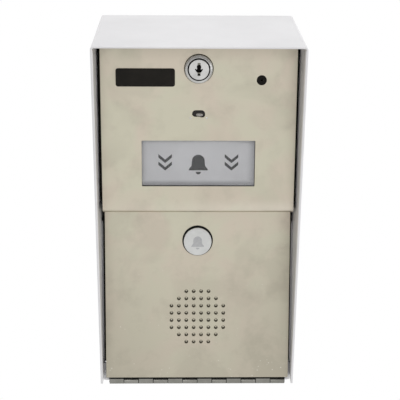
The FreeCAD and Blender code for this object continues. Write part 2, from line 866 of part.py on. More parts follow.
def make_face_plate():
    """Bend the face plate from one sheet and cut its openings."""
    body = new_body("face_plate")
    draw_plate_profile(body)
    body.Tip.Label = "plate_profile"
    round_plate_bends(body)

    button = panel_sketch(body, LOWER)
    draw_circle(button, "button_hole_radius", "0", BUTTON_UP)
    cut(body, button, "4 * plate_sheet", both_ways=True)
    cut_speaker_holes(body)

    openings = panel_sketch(body, UPPER)
    draw_circle(openings, "lock_thread_radius + lock_hole_play", "0", LOCK_UP)
    draw_circle(openings, "sound_hole_radius", MICROPHONE_ACROSS, MICROPHONE_UP)
    draw_centred_box(openings, WINDOW_WIDTH, "window_height", "0", "window_up")
    draw_centred_box(openings, "slot_width", "slot_height", "0", SLOT_UP)
    cut(body, openings, "4 * plate_sheet", both_ways=True)
    round_plate_openings(body)
    on_box(body, "plate_shift")


def draw_plate_profile(body):
    """Draw the sheet's side view, with its two leans, and pad it across."""
    sketch = new_sketch(body, "YZ_Plane")
    gauge = amount("plate_sheet")
    low = math.radians(amount("lower_angle"))
    high = math.radians(amount("upper_angle"))
    up_low = FreeCAD.Vector(math.sin(low), math.cos(low), 0)
    in_low = FreeCAD.Vector(math.cos(low), -math.sin(low), 0)
    up_high = FreeCAD.Vector(math.sin(high), math.cos(high), 0)
    in_high = FreeCAD.Vector(math.cos(high), -math.sin(high), 0)
    foot = FreeCAD.Vector(amount("low_edge_back"), amount("low_edge_rise"), 0)
    nose = FreeCAD.Vector(amount("upper_bend_back"), amount(BEND_RISE), 0)
    top = nose + up_high * ((amount(TOP_RISE) - nose.y) / math.cos(high))
    nook = crossing(foot, up_low, nose, in_high)
    back_nook = crossing(foot + in_low * gauge, up_low, nose + up_high * gauge, in_high)
    spots = [
        foot, nook, nose, top,
        top + in_high * gauge, nose + (in_high + up_high) * gauge,
        back_nook, foot + in_low * gauge,
    ]
    count = len(spots)
    for step in range(count):
        sketch.addGeometry(Part.LineSegment(spots[step], spots[(step + 1) % count]), False)
    for step in range(count):
        sketch.addConstraint(Sketcher.Constraint("Coincident", step, 2, (step + 1) % count, 1))
    pin_point(sketch, 0, 1, "low_edge_back", "low_edge_rise")
    pin_point(sketch, 2, 1, "upper_bend_back", BEND_RISE)
    for line, lean in ((0, "lower_angle"), (2, "upper_angle")):
        angle = math.radians(90 - amount(lean))
        rule = sketch.addConstraint(Sketcher.Constraint("Angle", line, angle))
        bind(sketch, f"Constraints[{rule}]", f"90 - {lean}")
    rule = sketch.addConstraint(Sketcher.Constraint("DistanceY", -1, 1, 3, 1, top.y))
    bind(sketch, f"Constraints[{rule}]", TOP_RISE)
    for first, second in ((1, 2), (2, 3), (0, 7)):
        sketch.addConstraint(Sketcher.Constraint("Perpendicular", first, second))
    for first, second in ((2, 4), (1, 5), (0, 6)):
        sketch.addConstraint(Sketcher.Constraint("Parallel", first, second))
    for corner, line in ((5, 2), (5, 1), (7, 0)):
        rule = sketch.addConstraint(Sketcher.Constraint("Distance", corner, 1, line, gauge))
        bind(sketch, f"Constraints[{rule}]", "plate_sheet")
    pad(body, sketch, PLATE_WIDTH, both_ways=True)


def crossing(start, way, other_start, other_way):
    """Return the point where two lines cross."""
    gap = other_start - start
    spread = way.x * other_way.y - way.y * other_way.x
    along = (gap.x * other_way.y - gap.y * other_way.x) / spread
    return start + way * along


def round_plate_bends(body):
    """Round both bends, each with its inside and outside radius."""
    profile = body.Tip.Profile[0]
    corners = [profile.getPoint(step, 1) for step in range(profile.GeometryCount)]

    def along_bend(indices):
        def wanted(edge):
            if not is_straight(edge, X_WAY):
                return False
            point = middle(edge)
            return any(near(point.y, corners[n].x) and near(point.z, corners[n].y)
                       for n in indices)
        return wanted

    round_edges(body, "plate_bend + plate_sheet", along_bend((2, 6)))
    round_edges(body, "plate_bend", along_bend((1, 5)))


def cut_speaker_holes(body):
    """Drill the rows of sound holes, shorter towards the top and bottom."""
    for level, holes in ((0.5, 8), (1.5, 8), (2.5, 6), (3.5, 4)):
        rows = panel_sketch(body, LOWER)
        for side in (-1, 1):
            for hole in range(holes):
                draw_circle(
                    rows, "grille_hole_radius",
                    f"sound_hole_pitch * {hole - (holes - 1) / 2}",
                    f"{SPEAKER_UP} + sound_hole_pitch * {side * level}",
                )
        cut(body, rows, "4 * plate_sheet", both_ways=True)


def round_plate_openings(body):
    """Round the corners of the window and of the small slot."""
    lean = math.radians(amount("upper_angle"))
    inward = FreeCAD.Vector(0, math.cos(lean), -math.sin(lean))
    upward = FreeCAD.Vector(0, math.sin(lean), math.cos(lean))
    nose = FreeCAD.Vector(0, amount("upper_bend_back"), amount(BEND_RISE))

    def corner(width, up, level=None):
        def wanted(edge):
            if not is_straight(edge, inward):
                return False
            point = middle(edge)
            here = (point - nose).dot(upward)
            if not near(abs(point.x), amount(width) / 2):
                return False
            return any(near(here, amount(text)) for text in up)
        return wanted

    window = ("window_up - window_height / 2", WINDOW_TOP)
    round_edges(body, "window_corner", corner(WINDOW_WIDTH, window))
    round_edges(body, "slot_top_round", corner("slot_width", (f"{SLOT_UP} + slot_height / 2",)))
    round_edges(body, "slot_low_round", corner("slot_width", (f"{SLOT_UP} - slot_height / 2",)))


def make_badge():
    """Make the bare name plate on the upper panel."""
    body = new_body("badge_plate")
    sketch = new_sketch(body, "XZ_Plane")
    draw_centred_box(sketch, "badge_width", "badge_height")
    pad(body, sketch, "badge_gauge")
    round_edges(body, "badge_corner", lambda edge: is_straight(edge, Y_WAY))
    round_edges(body, "0.3 * badge_gauge",
                lambda edge: all(near(v.Y, -amount("badge_gauge")) for v in edge.Vertexes))
    on_panel(body, UPPER, f"plate_shift + {BADGE_ACROSS}", BADGE_UP)


# Lock

def make_lock():
    """Make the lock's housing, nut, plug, cam and screw."""
    housing = new_body("lock_housing")
    sketch = new_sketch(housing, "XY_Plane")
    bore = "lock_plug_radius + plug_clearance"
    draw_outline(sketch, [
        (bore, "lock_body_end"),
        ("lock_thread_radius", "lock_body_end"),
        ("lock_thread_radius", "0"),
        ("lock_collar_radius", "0"),
        ("lock_collar_radius", "-lock_collar_rim"),
        ("lock_nose_radius", "-lock_nose_out"),
        ("lock_recess_radius", "-lock_nose_out"),
        ("lock_recess_radius", "-lock_recess_floor"),
        (bore, "-lock_recess_floor"),
    ])
    turn(housing, sketch)
    on_panel(housing, UPPER, up=LOCK_UP)

    plug = new_body("lock_plug")
    sketch = new_sketch(plug, "XY_Plane")
    cap_back = "-lock_recess_floor - lock_cap_gap"
    draw_outline(sketch, [
        ("0", "-lock_cap_out"),
        ("lock_cap_radius", "-lock_cap_out"),
        ("lock_cap_radius", cap_back),
        ("lock_plug_radius", cap_back),
        ("lock_plug_radius", "lock_body_end"),
        ("0", "lock_body_end"),
    ])
    turn(plug, sketch)

    def cap_rim(edge):
        round_edge = isinstance(edge.Curve, Part.Circle)
        return round_edge and near(edge.Curve.Center.y, -amount("lock_cap_out"))

    round_edges(plug, "0.5 * (lock_cap_out - lock_recess_floor - lock_cap_gap)", cap_rim)
    tang = new_sketch(plug, "XZ_Plane", "-lock_body_end")
    draw_centred_box(tang, "tang_across", "tang_across")
    pad(plug, tang, "cam_play + cam_gauge", inward=True)
    key = new_sketch(plug, "XZ_Plane", "lock_cap_out")
    wing = "1.5 * key_slot_width"
    blade = "key_slot_width / 2"
    draw_outline(key, [
        (f"-{blade}", "-key_slot_height / 2"), (blade, "-key_slot_height / 2"),
        (blade, f"-{blade}"), (wing, "0"), (blade, blade),
        (blade, "key_slot_height / 2"), (f"-{blade}", "key_slot_height / 2"),
        (f"-{blade}", blade), (f"-{wing}", "0"), (f"-{blade}", f"-{blade}"),
    ])
    cut(plug, key, "key_depth")
    on_panel(plug, UPPER, up=LOCK_UP)

    cam = new_body("lock_cam")
    sketch = new_sketch(cam, "XZ_Plane", f"-{CAM_FRONT}")
    draw_box(sketch, "-cam_reach", "-cam_width / 2", "cam_width / 2", "cam_width / 2")
    pad(cam, sketch, "cam_gauge", inward=True)
    round_edges(cam, "0.42 * cam_width", lambda edge: is_straight(edge, Y_WAY))
    eye = new_sketch(cam, "XZ_Plane", f"-{CAM_FRONT}")
    draw_centred_box(eye, "tang_across + tang_play", "tang_across + tang_play")
    cut(cam, eye, "4 * cam_gauge", both_ways=True)
    on_panel(cam, UPPER, up=LOCK_UP)

    screw = rod("lock_screw_radius", "lock_screw_head", "0", f"{CAM_FRONT} + cam_gauge")
    on_panel(group("lock_screw", [screw]), UPPER, up=LOCK_UP)

    nut = bored(
        hexagon("lock_nut_across", "lock_nut_gauge", "0", "plate_sheet"),
        rod("lock_thread_radius + nut_play", "3 * lock_nut_gauge", "0", "-lock_nut_gauge"),
    )
    on_panel(group("lock_nut", [nut]), UPPER, up=LOCK_UP)


# Call button

def make_button():
    """Make the button's face, its plunger and the ring that keeps it in the guide."""
    face = new_body("button_face")
    sketch = new_sketch(face, "XY_Plane")
    draw_outline(sketch, [
        ("0", "-button_face_out"),
        ("button_radius", "-button_face_out"),
        ("button_radius", "button_face_gauge - button_face_out"),
        ("0", "button_face_gauge - button_face_out"),
    ])
    turn(face, sketch)

    def front_rim(edge):
        round_edge = isinstance(edge.Curve, Part.Circle)
        return round_edge and near(edge.Curve.Center.y, -amount("button_face_out"))

    round_edges(face, "button_face_round", front_rim)
    on_panel(face, LOWER, up=BUTTON_UP)

    plunger = new_body("button_plunger")
    sketch = new_sketch(plunger, "XY_Plane")
    skirt = "button_radius - button_skirt_inset"
    head_front = "button_face_gauge - button_face_out"
    head_back = "button_head_length - button_face_out"
    draw_outline(sketch, [
        ("0", head_front), (skirt, head_front), (skirt, head_back),
        ("stem_radius", head_back), ("stem_radius", "stem_end"), ("0", "stem_end"),
    ])
    turn(plunger, sketch)
    on_panel(plunger, LOWER, up=BUTTON_UP)

    ring = new_body("button_clip")
    sketch = new_sketch(ring, "XY_Plane")
    front = "guide_web_front + guide_web_gauge + clip_ring_gap"
    draw_box(sketch, "stem_radius", front, "clip_ring_radius", f"{front} + clip_ring_gauge")
    turn(ring, sketch)
    on_panel(ring, LOWER, up=BUTTON_UP)


def make_button_guide():
    """Make the cup that the plunger slides in, and the spring inside it."""
    guide = new_body("button_guide")
    sketch = new_sketch(guide, "XY_Plane")
    bore = "button_radius + guide_gap"
    web_back = "guide_web_front + guide_web_gauge"
    draw_outline(sketch, [
        (bore, "plate_sheet"),
        ("guide_flange_radius", "plate_sheet"),
        ("guide_flange_radius", "plate_sheet + guide_flange_gauge"),
        ("guide_radius", "plate_sheet + guide_flange_gauge"),
        ("guide_radius", web_back),
        ("stem_radius + stem_gap", web_back),
        ("stem_radius + stem_gap", "guide_web_front"),
        (bore, "guide_web_front"),
    ])
    turn(guide, sketch)
    on_panel(guide, LOWER, up=BUTTON_UP)

    spring = new_body("button_spring")
    sketch = new_sketch(spring, "XY_Plane")
    front = "button_head_length - button_face_out + spring_seat"
    back = "guide_web_front - spring_seat"
    draw_box(sketch, "spring_radius - spring_wire", front, "spring_radius", back)
    turn(spring, sketch)
    on_panel(spring, LOWER, up=BUTTON_UP)


def make_button_bracket():
    """Bend the bracket that holds the guide and carries the switch."""
    body = new_body("switch_bracket")
    front = "(plate_sheet + guide_flange_gauge)"
    leg = "(switch_width / 2)"
    base = new_sketch(body, "XZ_Plane", f"-{front}")
    draw_centred_box(base, "bracket_width", "bracket_height")
    draw_circle(base, "guide_radius + stem_gap")
    for side in (-1, 1):
        draw_circle(base, "stud_radius + nut_play", f"{side} * ({leg} + bracket_width / 2) / 2")
    pad(body, base, "bracket_gauge", inward=True)
    legs = new_sketch(body, "XY_Plane", "-bracket_leg_height / 2")
    for side in (-1, 1):
        walls = [mirrored(leg, side), mirrored(f"{leg} + bracket_gauge", side)]
        draw_box(legs, walls[0], front, walls[1], "bracket_leg_end")
    pad(body, legs, "bracket_leg_height")
    on_panel(body, LOWER, up=BUTTON_UP)


def make_switch():
    """Make the switch, its pin, its terminals and its two screws."""
    shell = block("switch_width", "switch_length", "switch_height", "0", "switch_front")
    well = rod("switch_pin_radius + switch_pin_gap", "switch_pin_well", "0", "switch_front")
    shell = bored(shell, well)
    on_panel(group("switch_body", [shell]), LOWER, up=BUTTON_UP)

    pin_length = "switch_front - stem_end + switch_pin_well - button_travel - 2 * switch_pin_gap"
    pin = rod("switch_pin_radius", pin_length, "0", "stem_end")
    on_panel(group("switch_pin", [pin]), LOWER, up=BUTTON_UP)

    back = "switch_front + switch_length"
    lugs = []
    for side in (-1, 0, 1):
        lugs.append(block("terminal_width", "terminal_length", "terminal_gauge",
                          f"{side} * terminal_spacing", back))
    on_panel(group("switch_terminals", lugs), LOWER, up=BUTTON_UP)

    screws = []
    for side in (-1, 1):
        head = doc.addObject("Part::Cylinder", "screw_head")
        bind(head, "Radius", "screw_head_radius")
        bind(head, "Height", "screw_head_gauge")
        head.Placement = FreeCAD.Placement(
            FreeCAD.Vector(0, 0, 0), FreeCAD.Rotation(Y_WAY, 90 * side)
        )
        bind(head, "Placement.Base.x", f"{side} * (switch_width / 2 + bracket_gauge)")
        bind(head, "Placement.Base.y", "switch_front + switch_length / 2")
        screws.append(head)
    on_panel(group("switch_screws", screws), LOWER, up=BUTTON_UP)


# Loudspeaker

def make_speaker():
    """Stack the loudspeaker behind its holes: mesh, seal, basket, cone and magnet."""
    def here(piece):
        on_panel(piece, LOWER, up=SPEAKER_UP)

    here(group("speaker_mesh", [rod("speaker_radius", "mesh_gauge", "0", "plate_sheet")]))
    seal_start = "plate_sheet + mesh_gauge"
    seal = bored(
        rod("speaker_radius", "speaker_seal_gauge", "0", seal_start),
        rod("speaker_radius - speaker_seal_width", "3 * speaker_seal_gauge", "0", "0"),
    )
    here(group("speaker_seal", [seal]))

    rim_inside = "(speaker_radius - speaker_seal_width)"
    rim_back = f"({SPEAKER_FACE} + speaker_rim_gauge)"
    basket_floor = f"({SPEAKER_FACE} + basket_depth)"
    basket = new_body("speaker_basket")
    sketch = new_sketch(basket, "XY_Plane")
    draw_outline(sketch, [
        (rim_inside, SPEAKER_FACE),
        ("speaker_radius", SPEAKER_FACE),
        ("speaker_radius", rim_back),
        (f"{rim_inside} + basket_wall", rim_back),
        ("basket_throat_radius + basket_wall", basket_floor),
        ("basket_throat_radius + basket_wall", f"{basket_floor} + basket_wall"),
        ("dust_cap_radius", f"{basket_floor} + basket_wall"),
        ("dust_cap_radius", basket_floor),
        ("basket_throat_radius", basket_floor),
    ])
    turn(basket, sketch)
    windows = new_sketch(basket, "XZ_Plane", f"-{rim_back}")
    low = "basket_throat_radius + 2 * basket_wall"
    high = f"{rim_inside} - 2 * basket_wall"
    half = "basket_window_width / 2"
    for side in (-1, 1):
        draw_box(windows, mirrored(low, side), f"-{half}", mirrored(high, side), half)
        draw_box(windows, f"-{half}", mirrored(low, side), half, mirrored(high, side))
    cut(basket, windows, "basket_depth - speaker_rim_gauge")
    here(basket)

    cone = new_body("speaker_cone")
    sketch = new_sketch(cone, "XY_Plane")
    edge = f"({SPEAKER_FACE} + speaker_rim_gauge / 3)"
    throat = f"({SPEAKER_FACE} + cone_depth)"
    dome = f"({throat} - dust_cap_radius / 3)"
    draw_outline(sketch, [
        (f"{rim_inside} - 4 * seal_gap", edge),
        (f"{rim_inside} - cone_surround", edge),
        ("dust_cap_radius", throat),
        ("0", dome),
        ("0", f"{dome} + cone_gauge"),
        ("dust_cap_radius", f"{throat} + cone_gauge"),
        (f"{rim_inside} - cone_surround", f"{edge} + cone_gauge"),
        (f"{rim_inside} - 4 * seal_gap", f"{edge} + cone_gauge"),
    ])
    turn(cone, sketch)
    here(cone)

    start = f"{basket_floor} + basket_wall"
    plate = "magnet_length / 4"
    magnet = joined(
        rod("0.9 * magnet_radius", plate, "0", start),
        rod("magnet_radius", "magnet_length / 2", "0", f"{start} + {plate}"),
        rod("0.9 * magnet_radius", plate, "0", f"{start} + 3 * {plate}"),
    )
    here(group("speaker_magnet", [magnet]))

    holder_length = "terminal_length"
    holder_up = "speaker_radius - 1.5 * basket_wall"
    parts = [block("2.5 * terminal_width", holder_length, "2 * basket_wall", "0", rim_back,
                   holder_up)]
    for side in (-1, 1):
        parts.append(block("terminal_width / 2", "terminal_length / 2", "terminal_gauge",
                           f"{side} * 0.8 * terminal_width", f"{rim_back} + {holder_length}",
                           holder_up))
    here(group("speaker_terminals", parts))


# Upper panel's fittings

def make_microphone():
    """Make the rubber boot in the sound hole and the capsule inside it."""
    boot = new_body("microphone_boot")
    sketch = new_sketch(boot, "XY_Plane")
    back = "(plate_sheet + boot_length)"
    nub = "sound_hole_radius - boot_fit"
    draw_outline(sketch, [
        ("sound_bore_radius", "boot_recess"),
        (nub, "boot_recess"),
        (nub, "plate_sheet"),
        ("boot_radius", "plate_sheet"),
        ("boot_radius", back),
        ("capsule_radius", back),
        ("capsule_radius", f"{back} - capsule_length"),
        ("sound_bore_radius", f"{back} - capsule_length"),
    ])
    turn(boot, sketch)
    on_panel(boot, UPPER, f"plate_shift + {MICROPHONE_ACROSS}", MICROPHONE_UP)
    capsule = rod("capsule_radius - boot_fit", "capsule_length", "0",
                  f"{back} - capsule_length")
    on_panel(group("microphone_capsule", [capsule]), UPPER,
             f"plate_shift + {MICROPHONE_ACROSS}", MICROPHONE_UP)


def make_slot_lamp():
    """Make the lens behind the small slot, and the lamp in its holder."""
    lens = new_body("slot_lens")
    sketch = new_sketch(lens, "XZ_Plane", "-plate_sheet")
    draw_centred_box(sketch, "slot_width + 2 * lens_margin", "slot_height + 2 * lens_gauge")
    pad(lens, sketch, "slot_lens_gauge", inward=True)
    round_edges(lens, "lens_gauge", lambda edge: is_straight(edge, Y_WAY))
    on_panel(lens, UPPER, up=SLOT_UP)
    start = "plate_sheet + slot_lens_gauge"
    lamp_radius = "lamp_holder_radius / 2.8"
    holder = bored(
        rod("lamp_holder_radius", "lamp_holder_length", "0", start),
        rod(f"{lamp_radius} + boot_fit", "2 * lamp_holder_length", "0", "0"),
    )
    on_panel(group("lamp_holder", [holder]), UPPER, up=SLOT_UP)
    lamp = rod(lamp_radius, "lamp_holder_length - slot_lens_gauge", "0",
               f"{start} + slot_lens_gauge")
    on_panel(group("slot_lamp", [lamp]), UPPER, up=SLOT_UP)


def make_sign():
    """Make the lit sign: lens, bare card, tray, light board and its lights."""
    def here(piece):
        on_panel(piece, UPPER, up="window_up")

    width = f"({WINDOW_WIDTH} + 2 * lens_margin)"
    height = "(window_height + 2 * lens_margin)"
    here(group("sign_lens", [block(width, "lens_gauge", height, "0", "plate_sheet")]))
    card = block(width, "card_gauge", height, "0", "plate_sheet + lens_gauge")
    here(group("sign_card", [card]))

    wall = "2 * (tray_wall + tray_play)"
    room = block(f"{width} + 2 * tray_play", "tray_depth - tray_wall",
                 f"{height} + 2 * tray_play", "0", "plate_sheet")
    shell = block(f"{width} + {wall}", "tray_depth", f"{height} + {wall}", "0", "plate_sheet")
    ears = []
    holes = [room]
    for side in (-1, 1):
        across = mirrored(ear_across(), side)
        ears.append(block("tray_ear + tray_wall", "tray_wall", "tray_ear",
                          f"{across} - {side} * tray_wall / 2", "plate_sheet"))
        holes.append(rod("stud_radius + nut_play", "3 * tray_wall", across, "0"))
    holes.append(rod("lead_radius + lead_seat", "tray_depth", sign_lead_across(),
                     "plate_sheet + tray_depth / 2"))
    here(group("sign_tray", [bored(joined(shell, *ears), *holes)]))

    board_front = f"{TRAY_FLOOR} - tray_wall - light_board_gauge"
    board = block(LIGHT_BOARD_WIDTH, "light_board_gauge", "light_board_height", "0",
                  board_front)
    here(group("light_board", [board]))
    lights = []
    for index in range(int(amount("light_count"))):
        across = f"{LIGHT_PITCH} * ({index} - (light_count - 1) / 2)"
        lights.append(block(f"{LIGHT_PITCH} / 4", "light_board_gauge", f"{LIGHT_PITCH} / 5", across,
                            f"{board_front} - light_board_gauge"))
    here(group("sign_lights", lights))


def ear_across():
    """Return how far the tray's ears stand from the middle."""
    return f"({WINDOW_WIDTH} / 2 + lens_margin + tray_play + tray_wall + tray_ear / 2)"


def sign_lead_across():
    """Return where the light board's lead leaves the tray."""
    return f"({LIGHT_BOARD_WIDTH} / 2 - lens_margin)"


# Studs, nuts and the circuit board

def stud_spots():
    """List the weld studs: panel, x, z along the panel, and what the nut presses on."""
    speaker_reach = "speaker_stud_radius * cos(45)"
    spots = []
    for side in (-1, 1):
        for level in (-1, 1):
            spots.append((LOWER, mirrored(speaker_reach, side),
                          f"{SPEAKER_UP} + {mirrored(speaker_reach, level)}",
                          f"{SPEAKER_FACE} + speaker_rim_gauge"))
        spots.append((LOWER, f"{side} * (switch_width / 2 + bracket_width / 2) / 2",
                      BUTTON_UP, "plate_sheet + guide_flange_gauge + bracket_gauge"))
        spots.append((UPPER, mirrored(ear_across(), side), "window_up",
                      "plate_sheet + tray_wall"))
    return spots


def make_studs_and_nuts():
    """Make the weld studs on the plate's back, and one flanged nut for each."""
    studs = []
    nuts = []
    for panel in (LOWER, UPPER):
        panel_studs = []
        panel_nuts = []
        for owner, across, up, seat in stud_spots():
            if owner is not panel:
                continue
            panel_studs.append(rod("stud_radius", "stud_length", across, "plate_sheet", up))
            nut = joined(
                rod("washer_radius", "washer_gauge", across, seat, up),
                hexagon("nut_across", "nut_gauge", across, f"{seat} + washer_gauge", up),
            )
            bore = rod("stud_radius + nut_play", "2 * stud_length", across, "0", up)
            panel_nuts.append(bored(nut, bore))
        for solids, bundle in ((panel_studs, studs), (panel_nuts, nuts)):
            cluster = doc.addObject("Part::Compound", "cluster")
            cluster.Links = solids
            on_panel(cluster, panel)
            bundle.append(cluster)
    group("panel_studs", studs)
    group("panel_nuts", nuts)


def make_circuit_board():
    """Make the circuit board on its standoffs, and what is soldered to it."""
    board = new_body("circuit_board")
    sketch = new_sketch(board, "XZ_Plane", "-board_inward")
    draw_centred_box(sketch, BOARD_WIDTH, "board_height")
    corners = [(side, level) for side in (-1, 1) for level in (-1, 1)]
    places = [(f"{side} * ({BOARD_WIDTH} / 2 - board_hole_inset)",
               f"{level} * (board_height / 2 - board_hole_inset)")
              for side, level in corners]
    for across, up in places:
        draw_circle(sketch, "board_hole_radius", across, up)
    pad(board, sketch, "board_gauge", inward=True)
    outline = [(f"{side} * {BOARD_WIDTH} / 2", f"{level} * board_height / 2")
               for side, level in corners]
    round_edges(board, "board_corner", edges_at(Y_WAY, outline, (0, 2)))
    on_panel(board, UPPER, up="board_up")

    posts = [hexagon("standoff_across", "board_inward - plate_sheet", across, "plate_sheet", up)
             for across, up in places]
    on_panel(group("board_standoffs", posts), UPPER, up="board_up")
    heads = [rod("screw_head_radius", "screw_head_gauge", across, BOARD_BACK, up)
             for across, up in places]
    on_panel(group("board_screws", heads), UPPER, up="board_up")

    body = block("terminal_block_width", "terminal_block_depth", "terminal_block_height",
                 TERMINALS_ACROSS, BOARD_BACK, TERMINALS_UP)
    ways = int(amount("terminal_ways"))
    wells = []
    for way in range(ways):
        across = (f"{TERMINALS_ACROSS} + terminal_block_width / terminal_ways"
                  f" * ({way} - (terminal_ways - 1) / 2)")
        wells.append(rod("0.09 * terminal_block_width / 2", "terminal_block_depth", across,
                         f"{BOARD_BACK} + 0.8 * terminal_block_depth", TERMINALS_UP))
        wells.append(block("terminal_block_width / terminal_ways / 2",
                           "0.3 * terminal_block_depth", "0.6 * terminal_block_height", across,
                           f"{BOARD_BACK} + 0.15 * terminal_block_depth",
                           f"{TERMINALS_UP} - terminal_block_height / 2"))
    on_panel(group("terminal_block", [bored(body, *wells)]), UPPER, up="board_up")

    relay = block("relay_width", "relay_depth", "relay_height", f"-{BOARD_WIDTH} / 3",
                  BOARD_BACK, "board_height / 4")
    on_panel(group("relay", [relay]), UPPER, up="board_up")
    cans = [rod("capacitor_radius", "capacitor_length", across, BOARD_BACK, "board_height / 3.4")
            for across in ("-capacitor_radius", "1.6 * capacitor_radius")]
    on_panel(group("capacitors", cans), UPPER, up="board_up")
    chips = [block("chip_length", "chip_gauge", "chip_width", across, BOARD_BACK, up)
             for across, up in (("-chip_length / 3", "0"), ("-chip_length / 3", "-2 * chip_width"),
                                ("0.9 * chip_length", "-chip_width"))]
    on_panel(group("board_chips", chips), UPPER, up="board_up")
    plugs = [block("plug_width", "plug_depth", "plug_height", PLUG_ACROSS, BOARD_BACK, up)
             for up in PLUG_UPS]
    on_panel(group("board_plugs", plugs), UPPER, up="board_up")


TERMINALS_ACROSS = f"(-{BOARD_WIDTH} / 5)"
TERMINALS_UP = "(terminal_block_height / 2 + board_corner - board_height / 2)"
PLUG_ACROSS = f"({BOARD_WIDTH} / 2 - 1.8 * plug_width)"
PLUG_UPS = ("0.3 * board_height", "-0.02 * board_height", "-0.24 * board_height")


# Leads, each along straight runs joined by tangent arcs

def spot(panel, across, up, inward):
    """Return a point given on a panel, measured from the hood's front and feet."""
    lean = math.radians(amount(panel["lean"]))
    back = amount(panel["back"]) + up * math.sin(lean) + inward * math.cos(lean)
    rise = amount(panel["rise"]) + up * math.cos(lean) - inward * math.sin(lean)
    return FreeCAD.Vector(across, back, rise)


def lead_path(points):
    """Join the points by straight runs, with an arc as large as the runs allow at each."""
    edges = []
    start = points[0]
    for before, corner, after in zip(points, points[1:], points[2:]):
        way_in = (corner - before).normalize()
        way_out = (after - corner).normalize()
        half_turn = math.acos(max(-1.0, min(1.0, way_in.dot(way_out)))) / 2
        reach = 0.45 * min(corner.distanceToPoint(before), corner.distanceToPoint(after))
        radius = reach / math.tan(half_turn)
        arc_start = corner - way_in * reach
        arc_end = corner + way_out * reach
        inner = (way_out - way_in).normalize()
        arc_middle = corner + inner * (radius / math.cos(half_turn) - radius)
        edges.append(Part.LineSegment(start, arc_start).toShape())
        edges.append(Part.Arc(arc_start, arc_middle, arc_end).toShape())
        start = arc_end
    edges.append(Part.LineSegment(start, points[-1]).toShape())
    return Part.Wire(edges)


def make_lead(label, points):
    """Run one lead along its points."""
    path = lead_path(points)
    radius = amount("lead_radius")
    way = (points[1] - points[0]).normalize()
    ring = Part.Wire(Part.Circle(points[0], way, radius).toShape())
    tube = path.makePipeShell([ring], True, False)
    expected = math.pi * radius ** 2 * path.Length
    if abs(tube.Volume / expected - 1) > 0.01:
        raise RuntimeError(f"{label} is not a clean tube")
    lead = doc.addObject("Part::Feature", label)
    lead.Shape = tube
    finish(lead, label)
    on_box(lead, "plate_shift")


def make_leads():
    """Run the leads between the circuit board and what hangs on it."""
    board_up = amount("board_up")
    plug_across = amount(PLUG_ACROSS)
    plug_back = amount(f"{BOARD_BACK} + plug_depth")
    plug_ups = [board_up + amount(text) for text in PLUG_UPS]

    loop = amount("lead_loop")

    microphone_across = amount(MICROPHONE_ACROSS)
    microphone_up = amount(MICROPHONE_UP)
    capsule_back = amount("plate_sheet + boot_length")
    make_lead("microphone_lead", [
        spot(UPPER, plug_across, plug_ups[0], plug_back),
        spot(UPPER, plug_across, plug_ups[0], plug_back + loop),
        spot(UPPER, plug_across + 0.1 * loop, plug_ups[0] + 1.5 * loop, plug_back + 0.9 * loop),
        spot(UPPER, microphone_across, microphone_up, capsule_back + loop),
        spot(UPPER, microphone_across, microphone_up, capsule_back),
    ])

    button_up = amount(BUTTON_UP)
    lug_back = amount("switch_front + switch_length + terminal_length")
    lug_across = amount("terminal_spacing")
    make_lead("switch_lead", [
        spot(UPPER, plug_across, plug_ups[1], plug_back),
        spot(UPPER, plug_across, plug_ups[1], plug_back + 1.1 * loop),
        spot(UPPER, plug_across - 0.1 * loop, plug_ups[1] - 1.9 * loop, plug_back + 1.4 * loop),
        spot(UPPER, plug_across - 0.6 * loop, plug_ups[1] - 3.6 * loop, plug_back + 1.4 * loop),
        spot(LOWER, lug_across + 0.9 * loop, button_up + 0.6 * loop, lug_back + loop),
        spot(LOWER, lug_across, button_up, lug_back + 0.9 * loop),
        spot(LOWER, lug_across, button_up, lug_back),
    ])

    speaker_top = amount(f"{SPEAKER_UP} + speaker_radius - 1.5 * basket_wall")
    speaker_back = amount(f"{SPEAKER_FACE} + speaker_rim_gauge + 1.5 * terminal_length")
    speaker_lug = amount("0.8 * terminal_width")
    make_lead("speaker_lead", [
        spot(UPPER, plug_across, plug_ups[2], plug_back),
        spot(UPPER, plug_across, plug_ups[2], plug_back + 0.8 * loop),
        spot(UPPER, plug_across - 0.1 * loop, plug_ups[2] - 1.6 * loop, plug_back + 0.65 * loop),
        spot(LOWER, plug_across - 0.35 * loop, button_up + 0.85 * loop, 3.4 * loop),
        spot(LOWER, plug_across - 0.9 * loop, button_up - loop, 2.7 * loop),
        spot(LOWER, speaker_lug + 0.8 * loop, speaker_top + 0.5 * loop, 2.4 * loop),
        spot(LOWER, speaker_lug, speaker_top, speaker_back + 0.9 * loop),
        spot(LOWER, speaker_lug, speaker_top, speaker_back),
    ])

    sign_across = amount(sign_lead_across())
    window_up = amount("window_up")
    tray_floor = amount(f"{TRAY_FLOOR} - tray_wall")
    length = amount("board_inward") - tray_floor
    way = spot(UPPER, 0, 0, 1) - spot(UPPER, 0, 0, 0)
    tube = Part.makeCylinder(amount("lead_radius"), length,
                             spot(UPPER, sign_across, window_up, tray_floor), way)
    lead = doc.addObject("Part::Feature", "sign_lead")
    lead.Shape = tube
    finish(lead, "sign_lead")
    on_box(lead, "plate_shift")


def check_document():
    """Stop if any object failed or any sub-part has no sound shape."""
    doc.recompute()
    for item in doc.Objects:
        if "Invalid" in item.State or "Error" in item.State:
            raise RuntimeError(f"{item.Label} ({item.TypeId}) failed")
    for piece in subparts:
        shape = piece.Shape
        if shape.isNull() or not shape.isValid() or not shape.Solids:
            raise RuntimeError(f"{piece.Label} has no sound shape")


def write_parts():
    """Write each sub-part to its own file."""
    os.makedirs("parts", exist_ok=True)
    for piece in subparts:
        piece.Shape.exportStep(f"parts/{piece.Label}.step")
        print(f"{piece.Label}: {len(piece.Shape.Solids)} solids, {piece.Shape.Volume:.1f} mm3")


